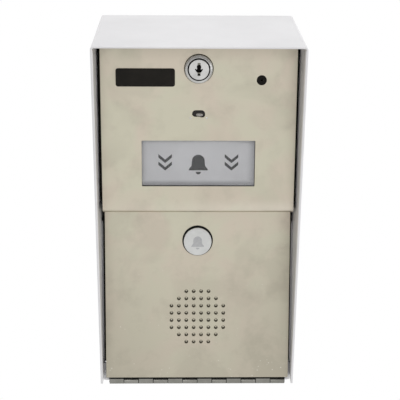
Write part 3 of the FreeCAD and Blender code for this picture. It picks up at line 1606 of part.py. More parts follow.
make_hood()
make_back_pan()
make_strike()
make_door_stops()
make_cable_bushing()
make_ground_stud()
make_hinge()
make_face_plate()
make_badge()
make_lock()
make_button()
make_button_guide()
make_button_bracket()
make_switch()
make_speaker()
make_microphone()
make_slot_lamp()
make_sign()
make_studs_and_nuts()
make_circuit_board()
make_leads()
check_document()
write_parts()
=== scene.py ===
import json
import math

import bmesh
import bpy
from mathutils import Matrix, Vector


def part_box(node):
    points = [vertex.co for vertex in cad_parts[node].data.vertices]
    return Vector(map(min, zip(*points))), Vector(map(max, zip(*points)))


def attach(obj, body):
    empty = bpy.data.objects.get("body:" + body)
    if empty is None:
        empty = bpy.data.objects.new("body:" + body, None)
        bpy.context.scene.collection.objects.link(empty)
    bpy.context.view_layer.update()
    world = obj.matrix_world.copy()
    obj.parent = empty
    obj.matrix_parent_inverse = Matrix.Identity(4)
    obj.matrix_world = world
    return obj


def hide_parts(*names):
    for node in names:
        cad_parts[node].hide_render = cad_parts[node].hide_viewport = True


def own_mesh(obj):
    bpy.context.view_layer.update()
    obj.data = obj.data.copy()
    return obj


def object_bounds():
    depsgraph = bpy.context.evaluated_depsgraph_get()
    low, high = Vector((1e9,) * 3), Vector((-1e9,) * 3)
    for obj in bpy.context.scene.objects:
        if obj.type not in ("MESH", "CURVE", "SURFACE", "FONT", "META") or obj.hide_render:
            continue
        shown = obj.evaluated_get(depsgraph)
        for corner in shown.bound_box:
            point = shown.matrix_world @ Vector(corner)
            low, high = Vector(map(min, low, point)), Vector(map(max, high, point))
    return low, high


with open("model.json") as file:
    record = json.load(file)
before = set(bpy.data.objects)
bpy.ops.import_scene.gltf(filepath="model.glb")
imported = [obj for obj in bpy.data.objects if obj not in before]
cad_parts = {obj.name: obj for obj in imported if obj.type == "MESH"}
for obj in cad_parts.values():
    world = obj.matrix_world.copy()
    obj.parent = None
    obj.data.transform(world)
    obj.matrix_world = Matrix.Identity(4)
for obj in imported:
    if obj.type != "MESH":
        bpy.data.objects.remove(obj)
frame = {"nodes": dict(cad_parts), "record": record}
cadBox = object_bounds()
print("frame loaded")

mm = 0.001
surface = {}


# Helpers for colours and shader nodes; those whose name ends in Of give back an output

def linearColour(hexText):
    parts = [int(hexText[start:start + 2], 16) / 255 for start in (1, 3, 5)]
    curved = [part / 12.92 if part <= 0.04045 else ((part + 0.055) / 1.055) ** 2.4 for part in parts]
    return (*curved, 1.0)


def feed(tree, node, links):
    # an input is linked to another output, or set to a number or to a colour in hex
    for name, value in links.items():
        if isinstance(value, bpy.types.NodeSocket):
            tree.links.new(value, node.inputs[name])
        else:
            node.inputs[name].default_value = linearColour(value) if isinstance(value, str) else value


def addNode(tree, kind, settings=None, links=None):
    node = tree.nodes.new("ShaderNode" + kind)
    for name, value in (settings or {}).items():
        setattr(node, name, value)
    feed(tree, node, links or {})
    return node


def noiseOf(tree, place, detail, sizeMm=1 / mm, warp=0.0, rough=0.5):
    links = {"Vector": place, "Scale": 1 / (sizeMm * mm), "Detail": detail, "Distortion": warp}
    return addNode(tree, "TexNoise", None, {**links, "Roughness": rough}).outputs["Fac"]


def rangeOf(tree, value, low, high, bottom=0.0, top=1.0, way="LINEAR"):
    links = {"Value": value, "From Min": low, "From Max": high, "To Min": bottom, "To Max": top}
    return addNode(tree, "MapRange", {"interpolation_type": way}, links).outputs[0]


def mixOf(tree, share, first, second):
    return addNode(tree, "Mix", {"data_type": "RGBA"}, {0: share, 6: first, 7: second}).outputs[2]


def mathOf(tree, way, *values, clamp=False):
    return addNode(tree, "Math", {"operation": way, "use_clamp": clamp}, dict(enumerate(values))).outputs[0]


def turnedOf(tree, place, sizesMm=(1 / mm,) * 3, angle=0.0):
    # the place, turned about the across axis and counted in grains of the given sizes
    links = {"Vector": place, "Scale": [1 / (size * mm) for size in sizesMm], "Rotation": (angle, 0, 0)}
    return addNode(tree, "Mapping", None, links).outputs[0]


def seenOf(tree):
    # 1 for what the lens sees straight, in gloss or through the clear sheet
    path = addNode(tree, "LightPath").outputs
    seen = mathOf(tree, "ADD", path["Is Camera Ray"], path["Is Glossy Ray"], clamp=True)
    return mathOf(tree, "ADD", seen, path["Is Transmission Ray"], clamp=True)


def startMaterial(name):
    surface[name] = bpy.data.materials.new(name)
    surface[name].use_nodes = True
    tree = surface[name].node_tree
    return tree, tree.nodes["Principled BSDF"], addNode(tree, "TexCoord").outputs["Object"]


def setShader(tree, shader, colour, rough, height, bump, depthMm, more=None):
    raised = addNode(tree, "Bump", None, {"Strength": bump, "Distance": depthMm * mm, "Height": height})
    links = {"Base Color": colour, "Roughness": rough, "Normal": raised.outputs[0]}
    feed(tree, shader, {**links, **(more or {})})


finishSpans = {"patches": (0.36, 0.66), "grain": (0.3, 0.7)}


def makeFinish(name, light, dark, patch, grain, least, most, depth, more=None, bump=0.5):
    # patches of two colours, a grain in the roughness and a bump, all sized in real millimetres
    tree, shader, place = startMaterial(name)
    patches = rangeOf(tree, noiseOf(tree, place, 4.0, patch), *finishSpans["patches"])
    sizes = grain if isinstance(grain, tuple) else (grain,) * 3
    grains = noiseOf(tree, turnedOf(tree, place, sizes), 3.0)
    rough = rangeOf(tree, grains, *finishSpans["grain"], least, most)
    setShader(tree, shader, mixOf(tree, patches, light, dark), rough, grains, bump, depth, more)


# Each panel's own axes: across, inward and up along it, worked out from the joints

joints = {joint["name"]: joint for joint in frame["record"]["behaviour"]["joints"]}
panelSizes = {
    "hingeInward": 3.9, "hingeDrop": 4.33, "lockUp": 119.107, "windowUp": 41.81, "slotUp": 82.654,
    "buttonUp": 120.303, "speakerUp": 54.0,
}


def panelAxes(inwardWay, point, inward, up):
    way = Vector(inwardWay)
    rise = Vector((0, -way.z, way.y))
    foot = Vector(point) - way * inward * mm - rise * up * mm
    turn = Matrix((Vector((1, 0, 0)), way, rise)).transposed().to_4x4()
    return Matrix.Translation(foot) @ turn


lowerWay, upperWay = joints["button_press"]["axis"], joints["lock_turn"]["axis"]
lowerPanel = panelAxes(
    lowerWay, joints["door_hinge"]["pos_m"], panelSizes["hingeInward"], -panelSizes["hingeDrop"]
)
upperPanel = panelAxes(upperWay, joints["lock_turn"]["pos_m"], 0, panelSizes["lockUp"])
lowerPanel.translation.x = upperPanel.translation.x
lowerAngle, upperAngle = (math.atan2(-way[2], way[1]) for way in (lowerWay, upperWay))


def panelPlace(panel, across=0.0, inward=0.0, up=0.0):
    return panel @ Matrix.Translation(Vector((across, inward, up)) * mm) @ Matrix.Scale(mm, 4)


# Helpers for meshes, which are drawn in millimetres

# points this close are made one, in a drawn mesh and in a measured one
joinedMm, keptMm = 0.0005, 0.0001


def newThing(name, data):
    thing = bpy.data.objects.new(name, data)
    bpy.context.collection.objects.link(thing)
    return thing


def newData(name, mesh):
    # the mesh as data for an object; it is used up
    data = bpy.data.meshes.new(name)
    mesh.to_mesh(data)
    mesh.free()
    return data


def finishPiece(
    name, mesh, place, body, materials, nodes=(), smoothAngle=35, gauge=None, bevel=None
):
    # the mesh becomes an object at the origin, with its place in its mesh
    bmesh.ops.transform(mesh, matrix=place, verts=mesh.verts)
    data = newData(name, mesh)
    data.shade_smooth()
    data.set_sharp_from_angle(angle=math.radians(smoothAngle))
    piece = newThing(name, data)
    for material in materials:
        data.materials.append(surface[material])
    if gauge:
        sheet = piece.modifiers.new("gauge", "SOLIDIFY")
        sheet.thickness = gauge * mm
        sheet.offset = 0.0
        sheet.use_even_offset = True
    if bevel:
        softened = piece.modifiers.new("edges", "BEVEL")
        softened.width = bevel * mm
        softened.segments = 2
        softened.limit_method = "ANGLE"
        softened.angle_limit = math.radians(30)
    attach(piece, body)
    if nodes:
        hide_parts(*nodes)
    return piece


def vertsIn(geometry):
    return [part for part in geometry if isinstance(part, bmesh.types.BMVert)]


def paint(verts, index):
    for vert in verts:
        for face in vert.link_faces:
            face.material_index = index


def ease(mesh, edges, width):
    bmesh.ops.bevel(
        mesh, geom=list(edges), offset=width, segments=2, profile=0.5, affect="EDGES", material=-1
    )


def placeMade(mesh, made, size, centre, index):
    # what was just made at unit size is scaled, moved and painted
    bmesh.ops.scale(mesh, vec=size, verts=made)
    bmesh.ops.translate(mesh, vec=centre, verts=made)
    paint(made, index)


def turnedMesh(profile, steps=96):
    # a closed run of (radius, inward) points is spun about the inward axis
    mesh = bmesh.new()
    points = [mesh.verts.new((radius, inward, 0)) for radius, inward in profile]
    edges = [mesh.edges.new(pair) for pair in zip(points, points[1:])]
    bmesh.ops.spin(
        mesh, geom=points + edges, cent=(0, 0, 0), axis=(0, 1, 0), angle=math.tau, steps=steps,
        use_merge=True,
    )
    bmesh.ops.remove_doubles(mesh, verts=mesh.verts, dist=joinedMm)
    bmesh.ops.dissolve_degenerate(mesh, edges=mesh.edges, dist=keptMm)
    bmesh.ops.recalc_face_normals(mesh, faces=mesh.faces)
    return mesh


def addBlock(mesh, size, centre, index=0, eased=0.0):
    # a block, its edges eased by a small round
    made = bmesh.ops.create_cube(mesh, size=1.0)["verts"]
    placeMade(mesh, made, size, centre, index)
    if eased:
        ease(mesh, {edge for vert in made for edge in vert.link_edges}, eased)


def addBall(mesh, size, centre, index, steps):
    made = bmesh.ops.create_uvsphere(mesh, u_segments=steps, v_segments=steps // 2, radius=1.0)["verts"]
    placeMade(mesh, made, size, centre, index)


def addRod(mesh, radius, length, centre, steps=24, index=0, eased=0.0, way="inward", taper=1.0):
    made = bmesh.ops.create_cone(
        mesh, cap_ends=True, segments=steps, radius1=radius, radius2=radius * taper, depth=length
    )["verts"]
    turn, axis = {"inward": (-90, "X"), "across": (90, "Y"), "up": (0, "X")}[way]
    bmesh.ops.rotate(mesh, cent=(0, 0, 0), matrix=Matrix.Rotation(math.radians(turn), 3, axis), verts=made)
    placeMade(mesh, made, (1, 1, 1), centre, index)
    if eased:
        faces = {face for vert in made for face in vert.link_faces}
        ease(mesh, {edge for face in faces if len(face.verts) > 4 for edge in face.edges}, eased)


def addPlate(mesh, outline, front, depth, index=0):
    # a flat shape: (across, up) points, from its front inward by its depth
    face = mesh.faces.new([mesh.verts.new((across, front, up)) for across, up in outline])
    moved = vertsIn(bmesh.ops.extrude_face_region(mesh, geom=[face])["geom"])
    bmesh.ops.translate(mesh, vec=(0, depth, 0), verts=moved)
    verts = list(face.verts) + moved
    bmesh.ops.recalc_face_normals(mesh, faces=list({near for vert in verts for near in vert.link_faces}))
    paint(verts, index)


def combined(mesh, other, way="DIFFERENCE"):
    # one closed mesh cut by, or kept within, another; both are used up
    things = [newThing("cutting", newData("cutting", part)) for part in (mesh, other)]
    for thing in things:
        for _ in range(4):
            thing.data.materials.append(None)
    cut = things[0].modifiers.new("cut", "BOOLEAN")
    cut.operation = way
    cut.object = things[1]
    cut.solver = "EXACT"
    bpy.context.view_layer.update()
    result = bmesh.new()
    result.from_object(things[0], bpy.context.evaluated_depsgraph_get())
    for thing in things:
        data = thing.data
        bpy.data.objects.remove(thing)
        bpy.data.meshes.remove(data)
    return result


def cutBy(mesh, add, *shape, **more):
    # the mesh less one block, rod or plate
    other = bmesh.new()
    add(other, *shape, **more)
    return combined(mesh, other)


def addCopies(mesh, single, places=(Matrix(),)):
    # copies of a single mesh, each at its place, join the mesh; the single one is used up
    data = newData("single", single)
    for place in places:
        before = len(mesh.verts)
        mesh.from_mesh(data)
        mesh.verts.ensure_lookup_table()
        bmesh.ops.transform(mesh, matrix=place, verts=mesh.verts[before:])
    bpy.data.meshes.remove(data)
    return mesh


def nodeMesh(nodeName, join):
    mesh = bmesh.new()
    mesh.from_mesh(frame["nodes"][nodeName].data)
    bmesh.ops.remove_doubles(mesh, verts=mesh.verts, dist=join * mm)
    return mesh


def plainMesh(nodeName):
    # a node's mesh without the splits in its flat faces
    mesh = nodeMesh(nodeName, joinedMm)
    bmesh.ops.dissolve_limit(mesh, angle_limit=math.radians(0.5), verts=mesh.verts, edges=mesh.edges)
    return mesh


def solidBoxes(nodeName, axes):
    # the lowest and highest corners of each solid in a node, in millimetres along the given axes
    mesh = nodeMesh(nodeName, keptMm)
    bmesh.ops.transform(mesh, matrix=Matrix.Scale(1 / mm, 4) @ axes.inverted(), verts=mesh.verts)
    left = set(mesh.verts)
    boxes = []
    while left:
        group = []
        waiting = [left.pop()]
        while waiting:
            vert = waiting.pop()
            group.append(vert.co.copy())
            near = {edge.other_vert(vert) for edge in vert.link_edges} & left
            left -= near
            waiting.extend(near)
        boxes.append([Vector([way(point[n] for point in group) for n in range(3)]) for way in (min, max)])
    mesh.free()
    return sorted(boxes, key=lambda box: [round(value, 2) for value in box[0]])


def footsOf(boxes, end=0):
    # the middle of each box's front face, or of its back with end 1, as a place
    middles = [(box[0] + box[1]) / 2 for box in boxes]
    return [Matrix.Translation((middle.x, box[end].y, middle.z)) for middle, box in zip(middles, boxes)]


def finishCopies(name, single, panel, materials, node, boxes=None):
    # one drawn part stands in for each solid of a node on the door, or for each of the boxes
    feet = footsOf(boxes or solidBoxes(node, panel))
    finishPiece(name, addCopies(bmesh.new(), single, feet), panelPlace(panel), "door", materials, [node])


# Fasteners that several pieces use, standing inward from 0

fastener = {
    "threadPitch": 0.5, "threadDepth": 0.28, "cross": (0.24, 0.62), "crossDepth": 0.6,
    # shares of a head's radius and height, of a nut's width, corner and height
    "head": ((0, 0), (1, 0), (1, 0.42), (0.93, 0.7), (0.74, 0.92), (0.45, 1), (0, 1)),
    "nutFlat": 0.475, "nutCorner": 1.02, "nutChamfer": 0.17,
}


def threadedRod(radius, length, pitch=fastener["threadPitch"]):
    # rolled thread, drawn as rings
    count = int(length / pitch)
    pitch = length / count
    low = radius - fastener["threadDepth"] * pitch / fastener["threadPitch"]
    profile = [(0, 0), (low, 0)]
    for turn in range(count):
        profile += [(radius, (turn + 0.5) * pitch), (low, (turn + 1) * pitch)]
    return turnedMesh(profile + [(0, length)], 24)


def hexNut(across, height, bore):
    # a hexagon whose corners are turned off, with its bore
    corner = across / math.sqrt(3)
    middle = (0, height / 2, 0)
    flat, edge = across * fastener["nutFlat"], corner * fastener["nutCorner"]
    low = height * fastener["nutChamfer"]
    body = bmesh.new()
    addRod(body, corner, height, middle, steps=6)
    chamfer = turnedMesh([
        (0, -0.01), (flat, -0.01), (edge, low), (edge, height - low), (flat, height + 0.01),
        (0, height + 0.01),
    ], 48)
    return cutBy(combined(body, chamfer, "INTERSECT"), addRod, bore, height * 2, middle, steps=32)


def crossHead(radius, height):
    # a pan head with its cross recess, its underside at 0
    head = turnedMesh([(radius * out, height * up) for out, up in fastener["head"]], 36)
    wide, long = (share * radius * 2 for share in fastener["cross"])
    for across, up in ((wide, long), (long, wide)):
        size = (across, fastener["crossDepth"] * height * 2, up)
        head = cutBy(head, addBlock, size, (0, height, 0), 1)
    return head


# Camera, fitted to the photograph, in metres and degrees

camera = {
    "place": (-0.01409, -0.87233, 0.32509), "turn": 1.17, "down": 21.8, "roll": 0.47, "lensMm": 91.75,
    "sensorMm": 36.0, "clipStart": 0.01,
}


def makeCamera():
    turn, down, roll = (math.radians(camera[key]) for key in ("turn", "down", "roll"))
    forward = Vector((math.sin(turn) * math.cos(down), math.cos(turn) * math.cos(down), -math.sin(down)))
    right = Vector((math.cos(turn), -math.sin(turn), 0))
    up = right.cross(forward)
    rolledRight = right * math.cos(roll) + up * math.sin(roll)
    rolledUp = up * math.cos(roll) - right * math.sin(roll)
    data = bpy.data.cameras.new("photoCamera")
    data.lens = camera["lensMm"]
    data.sensor_width = camera["sensorMm"]
    data.clip_start = camera["clipStart"]
    thing = newThing("photoCamera", data)
    axes = Matrix((rolledRight, rolledUp, -forward)).transposed().to_4x4()
    thing.matrix_world = Matrix.Translation(Vector(camera["place"])) @ axes
    bpy.context.scene.camera = thing


makeCamera()
print("camera placed")


# Studio: pale floor far enough below for the open door, soft lamps

studio = {
    "floorDrop": 0.37, "floorHalf": 6.0, "floorColours": ("#EFEFED", "#F4F4F2"), "fibreMm": 2.5,
    "roomLevel": 0.62, "white": "#FFFFFF", "lampsAim": (0, -0.05, 0),
}
lamps = {
    "keyLamp": {"place": (-0.9, -1.6, 1.5), "size": 1.4, "watts": 6},
    "fillLamp": {"place": (1.9, -0.9, 0.5), "size": 1.4, "watts": 11},
    "topLamp": {"place": (0.0, 0.1, 1.9), "size": 1.2, "watts": 5.5},
}


def makeStudio():
    scene = bpy.context.scene
    scene.view_settings.view_transform = "Standard"
    # pale studio paper: matt, with a faint fibre, and shown near white to the lens and in gloss
    tree, shader, place = startMaterial("paleStudioPaper")
    shade = mixOf(tree, noiseOf(tree, place, 2.0, studio["fibreMm"]), *studio["floorColours"])
    feed(tree, shader, {"Base Color": shade, "Roughness": 0.9})
    white = addNode(tree, "Emission", None, {"Strength": 1.0}).outputs[0]
    mixed = addNode(tree, "MixShader", None, {0: seenOf(tree), 1: shader.outputs[0], 2: white})
    feed(tree, tree.nodes["Material Output"], {"Surface": mixed.outputs[0]})

    mesh = bmesh.new()
    bmesh.ops.create_grid(mesh, x_segments=1, y_segments=1, size=studio["floorHalf"])
    bmesh.ops.translate(mesh, vec=(0, 0, cadBox[0].z - studio["floorDrop"]), verts=mesh.verts)
    floor = newThing("studioFloor", newData("studioFloor", mesh))
    floor.data.materials.append(surface["paleStudioPaper"])

    scene.world = bpy.data.worlds.new("softRoom")
    scene.world.use_nodes = True
    tree = scene.world.node_tree
    room = tree.nodes["Background"]
    feed(tree, room, {"Color": studio["white"], "Strength": studio["roomLevel"]})
    backdrop = addNode(tree, "Background", None, {"Color": studio["white"], "Strength": 1.0}).outputs[0]
    mixed = addNode(tree, "MixShader", None, {0: seenOf(tree), 1: room.outputs[0], 2: backdrop})
    feed(tree, tree.nodes["World Output"], {"Surface": mixed.outputs[0]})

    for name, lamp in lamps.items():
        light = bpy.data.lights.new(name, "AREA")
        light.shape = "DISK"
        light.size = lamp["size"]
        light.energy = lamp["watts"]
        place = Vector(lamp["place"])
        turn = (Vector(studio["lampsAim"]) - place).to_track_quat("-Z", "Y").to_matrix().to_4x4()
        newThing(name, light).matrix_world = Matrix.Translation(place) @ turn


makeStudio()
print("studio ready")


# Finishes

def makeStainlessPlate():
    # 304 stainless sheet, cold rolled and faintly brushed: warm grey, stained in soft clouds, thumbed
    look = {
        "clean": ("#C9C5B2", "#CCC2B2"), "stainAndShade": "#B3AD9D", "drops": "#DEDBD2", "paintedSheen": "#DDD6C8",
        "castMm": 34, "cloudMm": 42, "smearMm": 16, "dropMm": 3.2, "sparseMm": 100 / 7,
        "brushMm": (0.5, 45, 45),
        "dirtShare": 0.62, "brushShare": 0.5,
    }
    # where each share begins and is full, and how much it is at either end; places in metres
    spans = {
        "clouds": (0.5, 0.61, 0.0, 0.38), "smears": (0.5, 0.66, 0.0, 0.36), "cast": (0.4, 0.6),
        "low": (0.0, -0.150), "high": (0.127, 0.145, 0.0, 0.6), "corner": (0.02, 0.075, 0.55, 1.0),
        "drops": (0.17, 0.10), "sparse": (0.60, 0.66), "rise": (0.0034, 0.0050), "fall": (0.0164, 0.0064),
        "rightward": (-0.07, 0.07, 0.1, 0.5), "rough": (0.1, 1.2, 0.30, 0.44),
    }
    tree, shader, place = startMaterial("stainlessPlate")
    spot = addNode(tree, "SeparateXYZ", None, {0: place}).outputs

    def share(key, value, way="LINEAR"):
        return rangeOf(tree, value, *spans[key], way=way)

    clouds = share("clouds", noiseOf(tree, place, 4.0, look["cloudMm"], warp=0.6))
    smears = share("smears", noiseOf(tree, place, 6.0, look["smearMm"], rough=0.62))
    # the foot of the plate is dirtier, from rain and hands, most of all towards its corners
    corner = share("corner", mathOf(tree, "ABSOLUTE", spot["X"]))
    low = mathOf(tree, "MULTIPLY", share("low", spot["Z"]), corner)
    # and its top is painted darker: painted shade under the hood's lip
    ends = mathOf(tree, "ADD", low, share("high", spot["Z"]))
    total = mathOf(tree, "ADD", clouds, smears)
    # stains, the dirt at the foot and the painted shade at the top darken the sheet together
    dirtAndShade = mathOf(tree, "MULTIPLY_ADD", total, look["dirtShare"], ends, clamp=True)
    # rolled sheet is never one hue: it drifts between a green and a rose cast
    cast = share("cast", noiseOf(tree, place, 2.0, look["castMm"], warp=0.4))
    colour = mixOf(tree, dirtAndShade, mixOf(tree, cast, *look["clean"]), look["stainAndShade"])
    # pale dried drops, mostly near the foot
    cells = {"Vector": place, "Scale": 1 / (look["dropMm"] * mm), "Randomness": 1.0}
    drops = share("drops", addNode(tree, "TexVoronoi", None, cells).outputs["Distance"])
    sparse = share("sparse", noiseOf(tree, place, 1.0, look["sparseMm"]))
    speckle = mathOf(tree, "MULTIPLY", drops, mathOf(tree, "MULTIPLY", sparse, low))
    colour = mixOf(tree, speckle, colour, look["drops"])
    # just above the bend the sheet is painted brighter, a painted sheen, more so to the right
    rise, fall = (share(key, spot["Z"], "SMOOTHSTEP") for key in ("rise", "fall"))
    sheenBand = mathOf(tree, "MULTIPLY", mathOf(tree, "MULTIPLY", rise, fall), share("rightward", spot["X"]))
    colour = mixOf(tree, sheenBand, colour, look["paintedSheen"])
    brush = noiseOf(tree, turnedOf(tree, place, look["brushMm"], upperAngle), 3.0)
    rough = share("rough", mathOf(tree, "MULTIPLY_ADD", brush, look["brushShare"], dirtAndShade))
    setShader(tree, shader, colour, rough, brush, 0.35, 0.004, {"Metallic": 1.0})


def makeSignCard():
    # frosted polyester card with a faint painted glow, though the card is no lamp: pale and even in the
    # middle, with painted shade greyer to its edges, most at the foot and the right
    look = {
        "colours": ("#E3E3E4", "#A6A6AA"), "half": (49, 18.5), "centre": (-1.2, 4.0, 1.5), "fibreMm": 1.2,
        "fall": (0.80, 1.04), "fibreShare": 0.12,
        # a faint painted glow: the card is no lamp
        "light": {"Emission Color": "#EAEBED", "Emission Strength": 0.07},
    }
    tree, shader, place = startMaterial("frostedCard")
    centre = upperPanel @ ((Vector(look["centre"]) + Vector((0, 0, panelSizes["windowUp"]))) * mm)
    wide, tall = (1 / (half * mm) for half in look["half"])
    links = {"Vector": place, "Location": (-centre.x * wide, 0, -centre.z * tall), "Scale": (wide, 0, tall)}
    local = addNode(tree, "Mapping", None, links).outputs[0]
    reach = addNode(tree, "VectorMath", {"operation": "ABSOLUTE"}, {0: local}).outputs[0]
    sides = addNode(tree, "SeparateXYZ", None, {0: reach}).outputs
    furthest = mathOf(tree, "MAXIMUM", sides["X"], sides["Z"])
    # painted shade: greyer towards the window's edges
    fall = rangeOf(tree, furthest, *look["fall"], way="SMOOTHSTEP")
    fibre = noiseOf(tree, place, 3.0, look["fibreMm"])
    fibreAndEdgeShade = mathOf(tree, "MULTIPLY_ADD", fibre, look["fibreShare"], fall, clamp=True)
    setShader(tree, shader, mixOf(tree, fibreAndEdgeShade, *look["colours"]), 0.55, fibre, 0.2, 0.01, look["light"])


def makeCircuitFinish():
    # glass-fibre board under green solder mask: raised copper tracks in a lighter green, glossy
    look = {"colours": ("#0C5A33", "#1C7A48"), "trackMm": 2.6, "fold": 0.12, "edge": (0.05, 0.07)}
    tree, shader, place = startMaterial("greenSolderMask")
    cells = addNode(
        tree, "TexVoronoi", {"distance": "MANHATTAN", "feature": "F2"},
        {"Vector": place, "Scale": 1 / (look["trackMm"] * mm), "Randomness": 0.85},
    )
    folded = mathOf(tree, "PINGPONG", cells.outputs["Distance"], look["fold"])
    copper = rangeOf(tree, folded, *look["edge"])
    setShader(tree, shader, mixOf(tree, copper, *look["colours"]), 0.28, copper, 0.6, 0.03)


def makeSpeakerMesh(name, hollow, thread, threadMm=0.8):
    # woven polyester speaker cloth, its threads drawn wide enough to show
    tree, shader, place = startMaterial(name)
    turned = turnedOf(tree, place, angle=lowerAngle)
    threads = [
        addNode(
            tree, "TexWave", {"wave_type": "BANDS", "bands_direction": direction},
            {"Vector": turned, "Scale": math.pi / (20 * threadMm * mm)},
        ).outputs["Fac"]
        for direction in ("X", "Z")
    ]
    weave = mathOf(tree, "MULTIPLY", *threads)
    setShader(tree, shader, mixOf(tree, weave, hollow, thread), 0.85, weave, 0.8, 0.1)


# Each finish: its two colours, the size of their patches and of its grain, its least and most roughness and
# the depth of its bump, in millimetres; then what else its shader takes, and the bump's strength

metal = {"Metallic": 1.0}
finishes = {
    # polyester powder coat on folded steel: white, satin, with a fine orange peel
    "whitePowderCoat": (
        "#EAE9EB", "#E2E1E3", 55, 1.4, 0.3, 0.38, 0.02, {"Coat Weight": 0.35, "Coat Roughness": 0.12}, 0.35,
    ),
    # zinc plate on small steel parts: pale, faintly blue, with a soft spangle
    "zincPlate": ("#C9CACB", "#B3B4B4", 2.5, 0.6, 0.24, 0.4, 0.01, metal),
    # yellow-passivated zinc on bent sheet: straw colour that drifts to green and pink
    "yellowZinc": ("#C9B97E", "#B7B08C", 7, 0.8, 0.28, 0.42, 0.01, metal),
    # rolled stainless hinge stock: duller than the plate, drawn lengthwise
    "drawnStainless": ("#94938D", "#83827C", 18, (25, 0.4, 0.4), 0.34, 0.5, 0.008, metal),
    # nickel and chrome on die-cast zinc, satin polished: bright with hair-fine turning marks
    "satinChrome": ("#D2D2D0", "#C3C3C1", 6, 0.5, 0.26, 0.36, 0.003, metal),
    # black enamel on a thin plate: deep, glossy, with fine handling marks
    "blackEnamel": ("#1A1814", "#211E1A", 9, (6, 0.5, 0.5), 0.3, 0.42, 0.003, {"Specular IOR Level": 0.12}),
    # moulded EPDM rubber: matt, near black, faintly dusty
    "mouldedRubber": ("#14120F", "#1C1A17", 5, 0.5, 0.6, 0.8, 0.02, {"Specular IOR Level": 0.15}),
    # closed-cell foam strip: black, dull, with open cut cells
    "cellFoam": ("#121110", "#1C1B1B", 1.6, 0.7, 0.85, 0.98, 0.15, {"Specular IOR Level": 0.1}, 0.8),
    # glass-filled nylon, moulded: black with a fine spark-eroded texture
    "blackNylon": ("#191A1B", "#222324", 8, 0.4, 0.42, 0.58, 0.02),
    # moulded ABS: pale grey, satin, very finely pitted
    "greyButtonPlastic": ("#E0E1E0", "#D8D9D8", 7, 0.45, 0.38, 0.5, 0.012),
    # moulded white nylon for trays and plugs: slightly warm, waxy
    "whiteNylon": (
        "#E2E1DB", "#D5D3CB", 12, 0.6, 0.42, 0.56, 0.012,
        {"Subsurface Weight": 0.05, "Subsurface Scale": 0.002},
    ),
    # stamped, tinned brass lugs
    "tinnedBrass": ("#CDBB86", "#B9AE8C", 2, (0.4, 0.4, 3), 0.24, 0.36, 0.006, metal),
    # turned brass standoffs: warm and bright with turning marks across them
    "turnedBrass": ("#D6B765", "#C7A655", 3, (4, 0.25, 4), 0.2, 0.34, 0.008, metal),
    # pressed steel basket under black stove enamel
    "stovedBlack": ("#232424", "#2E2F2F", 10, 0.8, 0.34, 0.5, 0.012),
    # doped paper cone: dark grey felted fibre
    "dopedPaper": ("#2A2927", "#1D1C1B", 3, 0.5, 0.7, 0.9, 0.05),
    # sintered ferrite between its steel plates: charcoal grey, finely ground
    "sinteredFerrite": ("#3A3B3D", "#2C2D2F", 4, 0.3, 0.5, 0.68, 0.015, {"Metallic": 0.4}),
    # green moulded polyamide terminal block
    "greenPolyamide": ("#1E7A3E", "#18693A", 8, 0.5, 0.38, 0.52, 0.012),
    # dark blue shrink sleeve over an aluminium can: thin, glossy
    "shrinkSleeve": ("#1C2A4E", "#17233F", 6, (5, 5, 0.6), 0.18, 0.3, 0.01, {"Coat Weight": 0.4}),
    # transfer-moulded epoxy of chips and capsules: black, finely frosted
    "frostedEpoxy": ("#1C1C1D", "#252526", 3, 0.3, 0.5, 0.65, 0.015),
    # extruded soft PVC sheath of the inner leads: mid grey, satin
    "softPvc": ("#6C6D70", "#5E5F63", 9, 0.9, 0.42, 0.55, 0.02),
    # red moulded acetal pin
    "redAcetal": ("#B6302A", "#A32A25", 3, 0.4, 0.32, 0.45, 0.008),
    # cast epoxy lamps: milky yellow, clear at the skin
    "castLamp": ("#EFE9C8", "#E4DCB2", 1.5, 0.8, 0.12, 0.2, 0.006, {"Coat Weight": 0.5}),
    # wound music wire: bright drawn steel
    "springWire": ("#B7B8B9", "#A3A4A6", 2, 0.3, 0.22, 0.34, 0.004, metal),
    # smoked polycarbonate lens in the slot: dark, clear and glossy, so that its dome takes a glint
    "smokedLens": ("#1C1917", "#141210", 3, 1.2, 0.16, 0.28, 0.006, {"Specular IOR Level": 0.3}),
    # polished end of the light pipe in the slot: grey, clear under its skin, its grey raised as a painted
    # glint besides the real glint of its glossy coat
    "lightPipe": (
        "#A5A19C", "#7E7A76", 1.8, 0.9, 0.12, 0.22, 0.006, {"Coat Weight": 0.8, "Coat Roughness": 0.08},
    ),
    # blacked steel of the hinge pin, sooty and oily; the same black stands as painted shade inside the
    # keyway, round the lock's plug and foot, and along the hinge
    "blackSteelAndShade": ("#0B0B0A", "#151413", 1.5, 0.3, 0.5, 0.7, 0.006, {"Specular IOR Level": 0.1}),
    # brass that shows where keys have worn the plate off the shallow slot: dull, greyed
    "wornKeyway": ("#8C8A80", "#77756C", 1.2, 0.3, 0.4, 0.55, 0.01, metal),
    # floor of the mark pressed into the button: the same plastic, a little darker
    "pressedMark": ("#C0C1C3", "#B7B8BA", 2, 0.35, 0.5, 0.64, 0.015),
    # solder-dipped legs of the board's parts: dull silver, slightly lumpy
    "tinnedLeg": ("#B9BABB", "#A2A3A5", 0.9, 0.35, 0.3, 0.48, 0.02, metal),
    # fired ceramic of small parts: sand coloured, matt, faintly speckled
    "ceramicBody": ("#B79F79", "#A58C66", 0.8, 0.25, 0.45, 0.6, 0.01),
    # cast acrylic sheet: clear, with a faintly rippled skin
    "clearAcrylic": (
        "#F5F5F6", "#F0F0F1", 20, 9, 0.04, 0.09, 0.01,
        {"Transmission Weight": 1.0, "IOR": 1.49, "Specular IOR Level": 0.2},
    ),
    # black printing ink on the card
    "printedInk": ("#141518", "#1B1C20", 4, 0.4, 0.5, 0.62, 0.004),
}
for name, row in finishes.items():
    makeFinish(name, *row)
